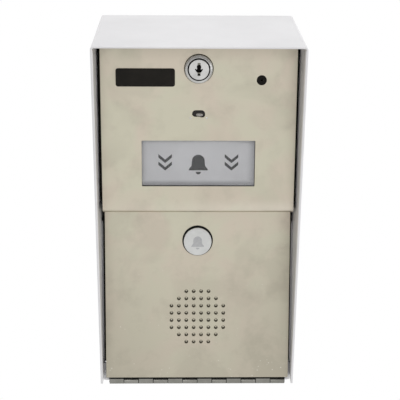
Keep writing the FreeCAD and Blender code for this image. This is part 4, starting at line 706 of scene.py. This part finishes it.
makeStainlessPlate()
makeSignCard()
makeCircuitFinish()
# two copies of one cloth: a darker one as painted shade in the holes, a lighter one as painted light on the
# bulges
makeSpeakerMesh("speakerCloth", "#48443B", "#6E695D")
makeSpeakerMesh("paintedLitCloth", "#C6C0B0", "#E6E1D2")

# the nodes that keep their own mesh
nodeFinishes = {
    "whitePowderCoat": ("back_pan", "door_stops"),
    "zincPlate": ("strike_bracket", "switch_screws", "button_clip", "lock_cam"),
    "yellowZinc": ("switch_bracket",),
    "blackEnamel": ("badge_plate",),
    "mouldedRubber": ("cable_bushing", "microphone_boot"),
    "cellFoam": ("speaker_seal",),
    "blackNylon": ("lamp_holder", "button_plunger", "button_guide"),
    "whiteNylon": ("sign_tray",),
    "tinnedBrass": ("speaker_terminals",),
    "turnedBrass": ("board_standoffs",),
    "stovedBlack": ("speaker_basket",),
    "dopedPaper": ("speaker_cone",),
    "sinteredFerrite": ("speaker_magnet",),
    "frostedEpoxy": ("microphone_capsule",),
    "softPvc": ("microphone_lead", "switch_lead", "speaker_lead", "sign_lead"),
    "redAcetal": ("switch_pin",),
    "castLamp": ("slot_lamp", "sign_lights"),
    "blackSteelAndShade": ("hinge_pin",),
    "greenSolderMask": ("circuit_board", "light_board"),
}
for finishName, nodeNames in nodeFinishes.items():
    for nodeName in nodeNames:
        for materialSlot in frame["nodes"][nodeName].material_slots:
            materialSlot.material = surface[finishName]
print("finishes ready:", len(surface))


# The plate's own sheet, with the sharp burr of its cut edges eased so that they catch the light

plate = {"eased": 0.16, "sharpDegrees": 50}


def makeFacePlate():
    mesh = plainMesh("face_plate")
    limit = math.radians(plate["sharpDegrees"])
    sharp = [edge for edge in mesh.edges if len(edge.link_faces) == 2 and edge.calc_face_angle() > limit]
    bmesh.ops.bevel(
        mesh, geom=sharp, offset=plate["eased"] * mm, segments=2, profile=0.5, affect="EDGES", material=-1,
        clamp_overlap=True,
    )
    finishPiece("facePlate", mesh, Matrix(), "door", ["stainlessPlate"], ["face_plate"], smoothAngle=20)


makeFacePlate()
print("face plate dressed")


# Hood: the folded sheet, its side edges hemmed, so that the rim is wider than the sheet

hood = {
    "hemDepth": 10.0, "hemStep": 0.6, "hemThick": 0.35, "sheet": 1.5, "edge": 0.6, "bend": 2.2, "slack": 0.05,
    "near": 0.01,
}


def makeHood():
    low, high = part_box("hood_shell")
    inner = high.x - hood["sheet"] * mm
    mesh = plainMesh("hood_shell")
    fold = low.y + hood["hemDepth"] * mm
    top = high.z - (hood["sheet"] + hood["bend"]) * mm
    near = hood["near"] * mm
    inward, upward = (0, 1, 0), (0, 0, 1)
    step = fold + hood["hemStep"] * mm
    for spot, way in (((0, fold, 0), inward), ((0, step, 0), inward), ((0, 0, top), upward)):
        bmesh.ops.bisect_plane(
            mesh, geom=list(mesh.verts) + list(mesh.edges) + list(mesh.faces), plane_co=spot, plane_no=way,
            dist=0.001 * mm,
        )
    for vert in mesh.verts:
        inside = inner - hood["slack"] * mm < abs(vert.co.x) < inner + hood["edge"] * mm
        if inside and vert.co.y < fold + near and vert.co.z < top + near:
            vert.co.x -= math.copysign(hood["hemThick"] * mm, vert.co.x)
    bmesh.ops.recalc_face_normals(mesh, faces=mesh.faces)
    finishPiece("hoodShell", mesh, Matrix(), "enclosure", ["whitePowderCoat"], ["hood_shell"], smoothAngle=25)


makeHood()
print("hood made")


# Piano hinge: two leaves of thin strip, each rolled round the pin at every second knuckle

hinge = {
    "rolled": 1.9, "gauge": 0.96, "turn": 303, "gap": 0.5, "relief": 2.8, "leaf": 16.0, "knuckles": 12,
    "paintedShade": (1.0, 1.5), "paintedShadeReach": (-1.75, -0.7), "paintedShadeRing": 2.28,
    "paintedShadeWidth": 0.8, "eased": (0.1, 0.12),
}
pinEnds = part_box("hinge_pin")
hingeLength = (pinEnds[1].x - pinEnds[0].x) / mm


def makeHingeLeaf(name, node, body, side, first):
    pitch = hingeLength / hinge["knuckles"]
    mesh = bmesh.new()
    line = []
    for knuckle in range(hinge["knuckles"]):
        for across in (knuckle * pitch + hinge["gap"] / 2, (knuckle + 1) * pitch - hinge["gap"] / 2):
            line.append(mesh.verts.new((across - hingeLength / 2, side * hinge["rolled"], hinge["relief"])))
    edges = [mesh.edges.new(pair) for pair in zip(line, line[1:])]
    leaf = vertsIn(bmesh.ops.extrude_edge_only(mesh, edges=edges)["geom"])
    bmesh.ops.translate(mesh, vec=(0, 0, hinge["leaf"] - hinge["relief"]), verts=leaf)
    for knuckle in range(first, hinge["knuckles"], 2):
        ends = vertsIn(bmesh.ops.extrude_edge_only(mesh, edges=[edges[knuckle * 2]])["geom"])
        bmesh.ops.translate(mesh, vec=(0, 0, -hinge["relief"]), verts=ends)
        rolled = next(edge for edge in ends[0].link_edges if edge.other_vert(ends[0]) is ends[1])
        bmesh.ops.spin(
            mesh, geom=ends + [rolled], cent=(0, 0, 0), axis=(1, 0, 0), steps=26,
            angle=-side * math.radians(hinge["turn"]),
        )
    bmesh.ops.recalc_face_normals(mesh, faces=mesh.faces)
    place = panelPlace(lowerPanel, 0, panelSizes["hingeInward"], -panelSizes["hingeDrop"])
    finishPiece(
        name, mesh, place, body, ["drawnStainless"], [node], gauge=hinge["gauge"], bevel=hinge["eased"][0]
    )


def makeHingePaintedShade():
    # a black strip under the sheet's lower edge and black rings between the knuckles: painted shade, read as
    # dark lines
    bottom, top = hinge["paintedShadeReach"]
    front, back = hinge["paintedShade"]
    mesh = bmesh.new()
    middle = (0, (back + front) / 2, (top + bottom) / 2)
    addBlock(mesh, (hingeLength, back - front, top - bottom), middle, eased=hinge["eased"][1])
    for line in range(1, hinge["knuckles"]):
        across = (line / hinge["knuckles"] - 0.5) * hingeLength
        spot = (across, panelSizes["hingeInward"], -panelSizes["hingeDrop"])
        addRod(mesh, hinge["paintedShadeRing"], hinge["gap"] * hinge["paintedShadeWidth"], spot, steps=28, way="across")
    finishPiece("hingePaintedShade", mesh, panelPlace(lowerPanel), "door", ["blackSteelAndShade"])


makeHingeLeaf("hingeDoorLeaf", "hinge_door_leaf", "door", -1, 0)
makeHingePaintedShade()
makeHingeLeaf("hingeBoxLeaf", "hinge_box_leaf", "enclosure", 1, 1)
print("hinge made")


# Cam lock: a domed bezel on a threaded barrel, and a plug with a shuttered keyway

lock = {
    "barrelStart": ((6.08, 9.5), (8.9, 9.5)), "thread": (9.5, 8.95), "threadReach": (1.9, 9.5),
    "threadPitch": 1.3, "threadEnd": 0.3,
    # a thin foot, a low drum, then a flat cone up to the lip, and down to the bore
    "bezel": (
        (9.5, 1.9), (9.5, 0), (11.75, 0), (11.75, -0.3), (11.25, -0.3), (11.2, -3.5), (11.01, -3.84),
        (10.7, -4.12), (9.56, -4.78), (9.4, -4.9), (9.16, -4.9), (9.0, -4.72), (9.0, -3.9), (6.08, -3.9),
        (6.08, 9.5),
    ),
    "groove": (9.05, -4.8), "footFrom": 11.27,
    "plug": (
        (0, -6.2), (7.6, -6.2), (7.93, -6.06), (8.05, -5.75), (8.05, -4.3), (6.0, -4.3), (6.0, 9.5), (0, 9.5),
    ),
    "keyway": (
        (0.9, 3.8), (1.6, 3.3), (1.75, 1.6), (1.35, 0.6), (2.1, 0.3), (3.0, 1.0), (3.2, 0.4), (2.3, -1.2),
        (1.3, -2.2),
    ),
    "keyDepth": (-7.2, 4.0),
    # blocks: size and middle
    "tang": ((6.0, 2.4, 6.0), (0, 10.5, 0)), "wornSlot": ((2.3, 1.4, 10.3), (0, -6.2, 0.35)),
    "ward": ((2.2, 6.0, 1.3), (0, -6.2, -3.85)), "shutter": ((1.9, 0.5, 5.4), (0, -3.6, 0.8)),
    "nut": (24.0, 3.5, 9.55), "nutAt": 1.5, "screw": (4.6, 3.0), "screwAt": 11.8,
    "eased": (0.3, 0.2, 0.05),
}


def makeLock():
    start, end = lock["threadReach"]
    crest, root = lock["thread"]
    housing = list(lock["barrelStart"])
    for turn in range(int((end - start) / lock["threadPitch"])):
        back = end - lock["threadEnd"] - turn * lock["threadPitch"]
        housing += [(crest, back - lock["threadEnd"]), (root, back - lock["threadPitch"] / 2)]
    bezel = turnedMesh(housing + list(lock["bezel"]), 128)
    # the groove round the plug and the ring under the foot are painted black: painted shade in the gap and
    # under the foot
    grooveRadius, grooveFront = lock["groove"]
    for face in bezel.faces:
        middle = face.calc_center_median()
        radius = math.hypot(middle.x, middle.z)
        inGroove = grooveFront < middle.y < 0 and radius < grooveRadius
        if inGroove or (radius > lock["footFrom"] and middle.y < -0.01):
            face.material_index = 1
    place = panelPlace(upperPanel, 0, 0, panelSizes["lockUp"])
    finishPiece(
        "lockHousing", bezel, place, "door", ["satinChrome", "blackSteelAndShade"], ["lock_housing"], smoothAngle=30
    )

    plug = turnedMesh(lock["plug"], 128)
    easedTang, easedShutter, easedPlug = lock["eased"]
    addBlock(plug, *lock["tang"], eased=easedTang)
    plug = cutBy(plug, addBlock, *lock["wornSlot"], 2)
    outline = list(lock["keyway"]) + [(-across, up) for across, up in reversed(lock["keyway"])]
    # the keyway and the ward are cut with black walls: painted shade inside the lock
    plug = cutBy(plug, addPlate, outline, *lock["keyDepth"], 1)
    plug = cutBy(plug, addBlock, *lock["ward"], 1)
    # spring-loaded dust shutter behind the keyway, black like the keyway's walls: painted shade inside the
    # keyway
    addBlock(plug, *lock["shutter"], 1, easedShutter)
    finishPiece(
        "lockPlug", plug, place, "lock", ["satinChrome", "blackSteelAndShade", "wornKeyway"], ["lock_plug"],
        smoothAngle=30, bevel=easedPlug,
    )
    for name, node, body, made, inward in (
        ("lockNut", "lock_nut", "door", hexNut(*lock["nut"]), lock["nutAt"]),
        ("lockScrew", "lock_screw", "lock", crossHead(*lock["screw"]), lock["screwAt"]),
    ):
        place = panelPlace(upperPanel, 0, inward, panelSizes["lockUp"])
        finishPiece(name, made, place, body, ["zincPlate"], [node])


makeLock()
print("lock made")


# Pictograms that stand where words would be: a bell, and arrows that point down to the button

def arcPoints(radius, up, turns):
    angles = [math.radians(turn) for turn in turns]
    return [(radius * math.cos(angle), up + radius * math.sin(angle)) for angle in angles]


def bellOutlines(size):
    # the bell and its clapper
    foot = [(-0.44, -0.2), (-0.62, -0.42), (-0.62, -0.5), (0.62, -0.5), (0.62, -0.42), (0.44, -0.2)]
    bell = arcPoints(0.42 * size, 0.12 * size, range(0, 181, 12)) + [(x * size, z * size) for x, z in foot]
    return [bell, arcPoints(0.17 * size, -0.6 * size, range(180, 361, 15))]


def arrowOutline(across, up, size):
    points = [(-0.5, 0.28), (0, -0.14), (0.5, 0.28), (0.5, 0.02), (0, -0.4), (-0.5, 0.02)]
    return [(across + x * size, up + z * size) for x, z in points]


# Call button: a crowned grey face with a pressed-in bell

button = {
    "sag": 0.22, "out": 4.9, "crown": 0.22, "crownRadius": 11.045, "crownSteps": 7, "bell": 8.6,
    "pressed": 0.16, "rim": ((11.25, -4.64), (11.59, -4.46), (11.75, -4.1), (11.75, -3.5), (0, -3.5)),
}


def makeButton():
    profile = []
    for step in range(button["crownSteps"]):
        reach = step / button["crownSteps"]
        profile.append((button["crownRadius"] * reach, -button["out"] + button["crown"] * reach ** 2))
    face = turnedMesh(profile + list(button["rim"]), 128)
    for outline in bellOutlines(button["bell"]):
        face = cutBy(face, addPlate, outline, -button["out"] - 1, 1 + button["pressed"], 1)
    finishPiece(
        "buttonFace", face, panelPlace(lowerPanel, 0, 0, panelSizes["buttonUp"] - button["sag"]),
        "call_button", ["greyButtonPlastic", "pressedMark"], ["button_face"], smoothAngle=30,
    )


# Wound spring behind the button's head

spring = {"radius": 5.9, "wire": 0.45, "front": 7.7, "back": 14.5, "turns": 3, "stepsPerTurn": 28}


def makeButtonSpring():
    length = spring["back"] - spring["front"]
    mesh = bmesh.new()
    ring = bmesh.ops.create_circle(mesh, segments=10, radius=spring["wire"])["verts"]
    bmesh.ops.translate(mesh, vec=(spring["radius"], spring["front"] + spring["wire"], 0), verts=ring)
    steps = spring["turns"] * spring["stepsPerTurn"]
    bmesh.ops.spin(
        mesh, geom=ring + list(mesh.edges), cent=(0, 0, 0), axis=(0, 1, 0), steps=steps,
        dvec=(0, (length - 2 * spring["wire"]) / steps, 0), angle=math.tau * spring["turns"],
    )
    bmesh.ops.holes_fill(mesh, edges=[edge for edge in mesh.edges if len(edge.link_faces) == 1], sides=0)
    bmesh.ops.recalc_face_normals(mesh, faces=mesh.faces)
    place = panelPlace(lowerPanel, 0, 0, panelSizes["buttonUp"])
    coil = finishPiece("buttonSpring", mesh, place, "door", ["springWire"], ["button_spring"], smoothAngle=60)
    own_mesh(coil)


makeButton()
makeButtonSpring()
print("button made")


# Sign: clear acrylic in front of a frosted card with printed pictograms

sign = {
    "width": 100.1, "height": 46.1, "lens": (1.5, 1.9), "card": (3.5, 0.5), "bell": 12.5, "arrow": 11.0,
    "arrowSpread": 27.0, "arrowRise": (4.2, -2.0), "ink": 0.04, "window": (92.1, 38.1), "shadeLine": (0.4, 0.35),
    "shadeLineThick": 0.3,
}


def makeSign():
    place = panelPlace(upperPanel, 0, 0, panelSizes["windowUp"])
    for name, key, eased, finish, node in (
        ("signLens", "lens", 0.25, "clearAcrylic", "sign_lens"),
        ("signCard", "card", 0.08, "frostedCard", "sign_card"),
    ):
        front, thick = sign[key]
        sheet = bmesh.new()
        addBlock(sheet, (sign["width"], thick, sign["height"]), (0, front + thick / 2, 0), eased=eased)
        finishPiece(name, sheet, place, "door", [finish], [node])
    arrows = [
        arrowOutline(side * sign["arrowSpread"], rise, sign["arrow"])
        for rise in sign["arrowRise"] for side in (-1, 1)
    ]
    ink = bmesh.new()
    for outline in bellOutlines(sign["bell"]) + arrows:
        addPlate(ink, outline, sign["card"][0] - sign["ink"], sign["ink"])
    finishPiece("signPictograms", ink, place, "door", ["printedInk"])
    # a black hair line at the foot and the right of the window: painted shade
    shadeLine = bmesh.new()
    wide, tall = sign["window"]
    foot, side = sign["shadeLine"]
    thick = sign["shadeLineThick"]
    middle = sign["lens"][0] - thick / 2
    addBlock(shadeLine, (wide, thick, foot), (0, middle, (foot - tall) / 2), eased=0.05)
    addBlock(shadeLine, (side, thick, tall), ((wide - side) / 2, middle, 0), eased=0.05)
    finishPiece("signShadeLine", shadeLine, place, "door", ["cellFoam"])


# Domed lens that fills the small slot

slotLens = {
    "size": (18.4, 2.0, 10.3), "eased": 0.4, "front": 1.5, "dome": (2.9, 1.3, 1.5), "domePlace": (0.8, -0.9),
    "lip": (
        (-5.2, -3.4), (5.2, -3.4), (5.2, -1.3), (4.7, -2.1), (3.9, -2.6), (2.9, -2.8), (1.9, -2.7),
        (0.8, -2.4),
        (-0.6, -2.2), (-2.2, -2.3), (-3.6, -2.1), (-4.6, -1.4), (-5.2, -0.6),
    ),
    "lipFront": 0.25, "lipDepth": 1.2, "pip": (0.8, 0.35, 0.8), "pipPlace": (6.6, -3.1),
}


def makeSlotLens():
    slotUp = panelSizes["slotUp"]
    low, high = solidBoxes("slot_lens", upperPanel)[0]
    mesh = bmesh.new()
    middle = (0, slotLens["front"] + slotLens["size"][1] / 2, (low.z + high.z) / 2)
    addBlock(mesh, slotLens["size"], middle, eased=slotLens["eased"])
    across, rise = slotLens["domePlace"]
    addBall(mesh, slotLens["dome"], (across, slotLens["front"], slotUp + rise), 1, 40)
    # the sheet's lower edge is drawn up unevenly, lowest to the right
    lip = [(across, slotUp + up) for across, up in slotLens["lip"]]
    addPlate(mesh, lip, slotLens["lipFront"], slotLens["lipDepth"], 2)
    # a small pip at each side, in brighter chrome, catches light at the slot's lower corners: partly real
    # reflection, partly a painted highlight
    across, rise = slotLens["pipPlace"]
    for side in (-1, 1):
        addBall(mesh, slotLens["pip"], (side * across, 0, slotUp + rise), 3, 24)
    finishPiece(
        "slotLens", mesh, panelPlace(upperPanel), "door",
        ["smokedLens", "lightPipe", "stainlessPlate", "satinChrome"], ["slot_lens"],
    )


# Speaker cloth: pressed up into each sound hole from behind; its bulges are painted lighter as painted light,
# the flat cloth darker as painted shade in the holes

cloth = {
    "radius": 28.5, "front": 1.5, "back": 1.8, "pitch": 6.35, "bulge": (1.0, 0.95, 0.95), "raised": 0.55,
    "rows": ((0.5, 8), (1.5, 8), (2.5, 6), (3.5, 4)),
}


def makeSpeakerCloth():
    front, back, radius = (cloth[key] for key in ("front", "back", "radius"))
    mesh = turnedMesh([(0, front), (radius, front), (radius, back), (0, back)])
    for level, count in cloth["rows"]:
        for side in (-1, 1):
            for n in range(count):
                across = cloth["pitch"] * (n - (count - 1) / 2)
                up = cloth["pitch"] * side * level + cloth["raised"]
                addBall(mesh, cloth["bulge"], (across, front, up), 1, 20)
    place = panelPlace(lowerPanel, 0, 0, panelSizes["speakerUp"])
    finishPiece("speakerCloth", mesh, place, "door", ["speakerCloth", "paintedLitCloth"], ["speaker_mesh"])


makeSpeakerCloth()
makeSign()
makeSlotLens()
print("sign and slot made")


# Foam strips that the closed door lands on; run on past their stops and set in only a little from the hood's
# sides, their black also stands in for painted shade in the side gaps

seals = {
    "eased": 0.7, "front": 1.8, "long": 30,
    # panel's strips: set in from the hood's side, run on upwards, run on downwards
    "low": (0.9, 15.0, 2.0), "high": (0.25, 7.0, 0.0),
}


def makeDoorSeals():
    for name, panel, run in (("doorSealsLow", lowerPanel, "low"), ("doorSealsHigh", upperPanel, "high")):
        inset, above, below = seals[run]
        mesh = bmesh.new()
        for low, high in solidBoxes("door_seals", panel):
            if abs(low.y - seals["front"]) > 0.05:
                continue
            if high.z - low.z > seals["long"]:
                low.z -= below
                high.z += above
                outer = high if low.x + high.x > 0 else low
                outer.x -= math.copysign(inset, outer.x)
            addBlock(mesh, high - low, (low + high) / 2, eased=seals["eased"])
        finishPiece(name, mesh, panelPlace(panel), "enclosure", ["cellFoam"], ["door_seals"])


makeDoorSeals()


# Studs, nuts and screws

fasteners = {
    "stud": (1.5, 9.0), "nut": (5.5, 2.4, 1.52), "washerHeight": 0.8, "nutHeight": 3.2, "slack": 0.05,
    "washer": ((1.6, 0), (4.6, 0), (4.6, 0.68), (4.48, 0.8), (1.6, 0.8), (1.6, 0)), "boardScrew": (2.9, 2.2),
    "groundRadius": 2.5, "groundPitch": 0.8, "groundNut": (8.0, 4.0, 2.52),
}


def squareBoxes(node, panel, height):
    # the boxes of those solids that stand square on this panel, told by their height
    boxes = solidBoxes(node, panel)
    return [box for box in boxes if abs(box[1].y - box[0].y - height) < fasteners["slack"]]


def makeFasteners():
    for side, panel in (("Low", lowerPanel), ("High", upperPanel)):
        rods = squareBoxes("panel_studs", panel, fasteners["stud"][1])
        rod = threadedRod(*fasteners["stud"])
        finishCopies("panelStuds" + side, rod, panel, ["zincPlate"], "panel_studs", rods)
        nuts = squareBoxes("panel_nuts", panel, fasteners["nutHeight"])
        nut = hexNut(*fasteners["nut"])
        bmesh.ops.translate(nut, vec=(0, fasteners["washerHeight"], 0), verts=nut.verts)
        addCopies(nut, turnedMesh(fasteners["washer"], 40))
        finishCopies("panelNuts" + side, nut, panel, ["zincPlate"], "panel_nuts", nuts)
    finishCopies(
        "boardScrews", crossHead(*fasteners["boardScrew"]), upperPanel, ["zincPlate"], "board_screws"
    )
    # on the back wall they stand outward from it
    wall = Matrix.Identity(4)
    outward = Matrix.Rotation(math.pi, 4, "X")
    low, high = solidBoxes("ground_stud", wall)[0]
    rod = threadedRod(fasteners["groundRadius"], high.y - low.y, fasteners["groundPitch"])
    nut = hexNut(*fasteners["groundNut"])
    for name, node, single in (("groundStud", "ground_stud", rod), ("groundNuts", "ground_nuts", nut)):
        feet = [foot @ outward for foot in footsOf(solidBoxes(node, wall), 1)]
        copies = addCopies(bmesh.new(), single, feet)
        finishPiece(name, copies, Matrix.Scale(mm, 4), "enclosure", ["zincPlate"], [node])


makeFasteners()
print("fasteners made")


# Circuit board's parts, each standing inward from its foot

chip = {
    "bodyLift": 0.5, "pins": 7, "pitch": 2.54, "rowHalf": 3.81, "leg": (1.2, 0.3, 0.9), "legIn": 0.3,
    "eased": (0.35, 0.06), "notch": (0.9, 1.2), "dot": (0.45, 0.4), "dotAt": (1.6, 1.4),
    # shares of the chip's height: leg's thickness, then where its root, knee and foot lie
    "legHeight": 0.3, "levels": (0.5, 0.38, 0.12), "footWidth": 0.5,
}


def makeChips():
    low, high = solidBoxes("board_chips", upperPanel)[0]
    length, height, width = high - low
    body = bmesh.new()
    middle = (0, (height + chip["bodyLift"]) / 2, 0)
    addBlock(body, (length, height - chip["bodyLift"], width), middle, eased=chip["eased"][0])
    body = cutBy(body, addRod, *chip["notch"], (-length / 2, height, 0))
    across, up = chip["dotAt"]
    body = cutBy(body, addRod, *chip["dot"], (-length / 2 + across, height, -width / 2 + up))
    wide, thick, foot = chip["leg"]
    reach = chip["rowHalf"] - width / 2 + chip["legIn"]
    rootUp, kneeUp, footUp = (height * level for level in chip["levels"])
    tall = height * chip["legHeight"]
    for side in (-1, 1):
        row = side * chip["rowHalf"]
        for pin in range(chip["pins"]):
            across = (pin - (chip["pins"] - 1) / 2) * chip["pitch"]
            root = side * (width / 2 + reach / 2 - chip["legIn"])
            addBlock(body, (wide, thick, reach), (across, rootUp, root), 1)
            addBlock(body, (wide, tall, foot), (across, kneeUp, row), 1, chip["eased"][1])
            addBlock(body, (wide * chip["footWidth"], tall, foot), (across, footUp, row), 1)
    finishCopies("boardChips", body, upperPanel, ["frostedEpoxy", "tinnedLeg"], "board_chips")


capacitor = {
    "can": (
        (0, 0), (4.5, 0), (5.0, 0.5), (5.0, 1.4), (4.55, 2.0), (5.0, 2.6), (5.0, 15.4), (4.55, 15.9),
        (4.3, 15.95),
        (4.2, 15.7), (0, 15.7),
    ),
    "bare": (4.28, 15.2), "scores": ((5.2, 0.5, 0.3), (0.3, 0.5, 5.2)), "scoresAt": (0, 15.75, 0),
}


def makeCapacitors():
    can = turnedMesh(capacitor["can"], 48)
    for size in capacitor["scores"]:
        can = cutBy(can, addBlock, size, capacitor["scoresAt"], 1)
    radius, level = capacitor["bare"]
    for face in can.faces:
        middle = face.calc_center_median()
        if middle.y > level and math.hypot(middle.x, middle.z) < radius:
            face.material_index = 1
    finishCopies("boardCapacitors", can, upperPanel, ["shrinkSleeve", "zincPlate"], "capacitors")


relay = {
    "base": 2.6, "baseUp": 1.6, "inset": 0.5, "coverUp": 2.8, "coverLess": 3.2, "eased": (0.25, 0.7, 0.15),
    "vent": (0.9, 0.6), "ventIn": (2.2, 0.35), "leg": (0.9, 0.4, 0.5), "legUp": 0.2,
    "legsAt": (-0.35, -0.12, 0.12, 0.35), "legRow": 0.36,
}


def makeRelay():
    low, high = solidBoxes("relay", upperPanel)[0]
    size = high - low
    easedBase, easedCover, easedVent = relay["eased"]
    tall = size.y - relay["coverLess"]
    cover = (size.x - relay["inset"], tall, size.z - relay["inset"])
    ventIn, ventDown = relay["ventIn"]
    mesh = bmesh.new()
    addBlock(mesh, (size.x, relay["base"], size.z), (0, relay["baseUp"], 0), eased=easedBase)
    addBlock(mesh, cover, (0, relay["coverUp"] + tall / 2, 0), eased=easedCover)
    vent = (size.x / 2 - ventIn, size.y - ventDown, size.z / 2 - ventIn)
    addRod(mesh, *relay["vent"], vent, eased=easedVent)
    for across in relay["legsAt"]:
        addBlock(mesh, relay["leg"], (across * size.x, relay["legUp"], -size.z * relay["legRow"]), 1)
    finishCopies("boardRelay", mesh, upperPanel, ["blackNylon", "tinnedLeg"], "relay")


terminals = {
    "ways": 6, "well": (1.9, 6.0), "entry": (3.4, 3.4, 5.0), "entryUp": 4.2, "groove": (0.35, 1.0),
    "grooveMore": 2,
    "screw": (1.72, 1.4), "screwAt": (2.9, 1.2), "drive": (0.5, 1.0, 4.0), "driveDown": 2.2,
    "eased": (0.4, 0.15),
}


def makeTerminalBlock():
    low, high = solidBoxes("terminal_block", upperPanel)[0]
    size = high - low
    pitch = size.x / terminals["ways"]
    down, up = terminals["screwAt"]
    spots = [(way + 0.5) * pitch - size.x / 2 for way in range(terminals["ways"])]
    block = bmesh.new()
    addBlock(block, size, (0, size.y / 2, 0), eased=terminals["eased"][0])
    cuts = bmesh.new()
    for across in spots:
        addRod(cuts, *terminals["well"], (across, size.y, up), steps=28)
        addBlock(cuts, terminals["entry"], (across, terminals["entryUp"], -size.z / 2))
    for line in range(1, terminals["ways"]):
        groove = (*terminals["groove"], size.z + terminals["grooveMore"])
        addBlock(cuts, groove, (line * pitch - size.x / 2, size.y, 0))
    block = combined(block, cuts)
    screw = bmesh.new()
    spot = (0, size.y - down, up)
    addRod(screw, *terminals["screw"], spot, steps=28, index=1, eased=terminals["eased"][1])
    screw = cutBy(screw, addBlock, terminals["drive"], (0, size.y - terminals["driveDown"], up), 1)
    addCopies(block, screw, [Matrix.Translation((across, 0, 0)) for across in spots])
    finishCopies("terminalBlock", block, upperPanel, ["greenPolyamide", "tinnedBrass"], "terminal_block")


plugs = {
    "eased": (0.35, 0.3, 0.15), "cap": (1.4, 0.5, 1.2), "key": (0.4, 0.55, 0.6), "windows": (-2.5, 0, 2.5),
    "window": (1.1, 2.0, 1.2), "windowUp": 0.45,
}


def makePlugs():
    low, high = solidBoxes("board_plugs", upperPanel)[0]
    x, y, z = high - low
    lessX, capShare, lessZ = plugs["cap"]
    keyX, keyY, keyZ = plugs["key"]
    mesh = bmesh.new()
    for size, middle, eased in zip(
        ((x, y * 0.6, z), (x - lessX, y * capShare, z - lessZ), (x * keyX, y * keyY, keyZ)),
        ((0, y * 0.3, 0), (0, y * 0.75 - 0.1, 0), (0, y * 0.7, (z - keyZ) / 2)), plugs["eased"],
    ):
        addBlock(mesh, size, middle, eased=eased)
    windows = bmesh.new()
    for across in plugs["windows"]:
        addBlock(windows, plugs["window"], (across, y * plugs["windowUp"], -z / 2))
    finishCopies("boardPlugs", combined(mesh, windows), upperPanel, ["whiteNylon"], "board_plugs")


# axial resistors and small ceramic parts, soldered where the board is free
smallParts = {
    "resistorAt": (-52, -46, -40, -34), "resistorUp": 47.6, "ceramicAt": (14, 18, 22, 26, 30, 34),
    "ceramicUp": (57.6, 62.6), "cap": (1.32, 0.72, 0.4), "ceramic": (1.3, 0.7, 1.5), "capsAt": (0.8, -0.8),
    # radius, length and finish of a resistor's body and of its wire, then its legs
    "resistor": ((1.25, 6.4, 0), (0.3, 10.5, 1)), "resistorIn": 1.4, "leg": (0.3, 1.6), "legAt": (0.75, 5.1),
}


def makeSmallBoardParts():
    inward = solidBoxes("circuit_board", upperPanel)[0][1].y
    up = smallParts["resistorUp"]
    legIn, legOut = smallParts["legAt"]
    mesh = bmesh.new()
    for across in smallParts["resistorAt"]:
        for radius, length, index in smallParts["resistor"]:
            spot = (across, inward + smallParts["resistorIn"], up)
            addRod(mesh, radius, length, spot, steps=20, index=index, way="up")
        for side in (-1, 1):
            addRod(mesh, *smallParts["leg"], (across, inward + legIn, up + side * legOut), steps=12, index=1)
    for across in smallParts["ceramicAt"]:
        for up in smallParts["ceramicUp"]:
            body, cap = smallParts["ceramic"], smallParts["cap"]
            addBlock(mesh, body, (across, inward + body[1] / 2, up), 0, 0.1)
            for end in smallParts["capsAt"]:
                addBlock(mesh, cap, (across, inward + cap[1] / 2, up + end), 1, 0.08)
    place = panelPlace(upperPanel)
    finishPiece("boardSmallParts", mesh, place, "door", ["ceramicBody", "tinnedLeg"])


makeChips()
makeCapacitors()
makeRelay()
makeTerminalBlock()
makePlugs()
makeSmallBoardParts()
print("board dressed")


# Snap switch behind the button

switch = {
    "seam": 0.25, "inner": (0.5, 0.5, 1.5), "rivet": (1.5, 0.3), "rivetTaper": 0.85, "rivetSunk": 0.05,
    "rivetsAt": ((-0.38, -0.3), (0.38, 0.3)), "well": (2.3, 7.2), "wellIn": 3.5, "eased": (0.45, 0.15),
    "bladeHole": (0.95, 3.0), "bladeHoleAt": 0.55,
}


def makeSwitch():
    low, high = solidBoxes("switch_body", lowerPanel)[0]
    size = high - low
    half = (size.z - switch["seam"]) / 2
    body = bmesh.new()
    easedBody, easedBlade = switch["eased"]
    for side in (-1, 1):
        shift = side * (half + switch["seam"]) / 2
        addBlock(body, (size.x, size.y, half), (0, 0, shift), eased=easedBody)
    addBlock(body, size - Vector(switch["inner"]), (0, 0, 0))
    for across, inward in switch["rivetsAt"]:
        spot = (across * size.x, inward * size.y, size.z / 2 - switch["rivetSunk"])
        addRod(body, *switch["rivet"], spot, steps=28, index=1, way="up", taper=switch["rivetTaper"])
    body = cutBy(body, addRod, *switch["well"], (0, switch["wellIn"] - size.y / 2, 0), steps=32)
    place = panelPlace(lowerPanel, *((low + high) / 2))
    finishPiece("switchBody", body, place, "door", ["blackNylon", "zincPlate"], ["switch_body"])
    low, high = solidBoxes("switch_terminals", lowerPanel)[0]
    size = high - low
    blade = bmesh.new()
    addBlock(blade, size, (0, size.y / 2, 0), eased=easedBlade)
    hole = (0, size.y * switch["bladeHoleAt"], 0)
    blade = cutBy(blade, addRod, *switch["bladeHole"], hole, way="up")
    finishCopies("switchTerminals", blade, lowerPanel, ["tinnedBrass"], "switch_terminals")


makeSwitch()
print("switch made")
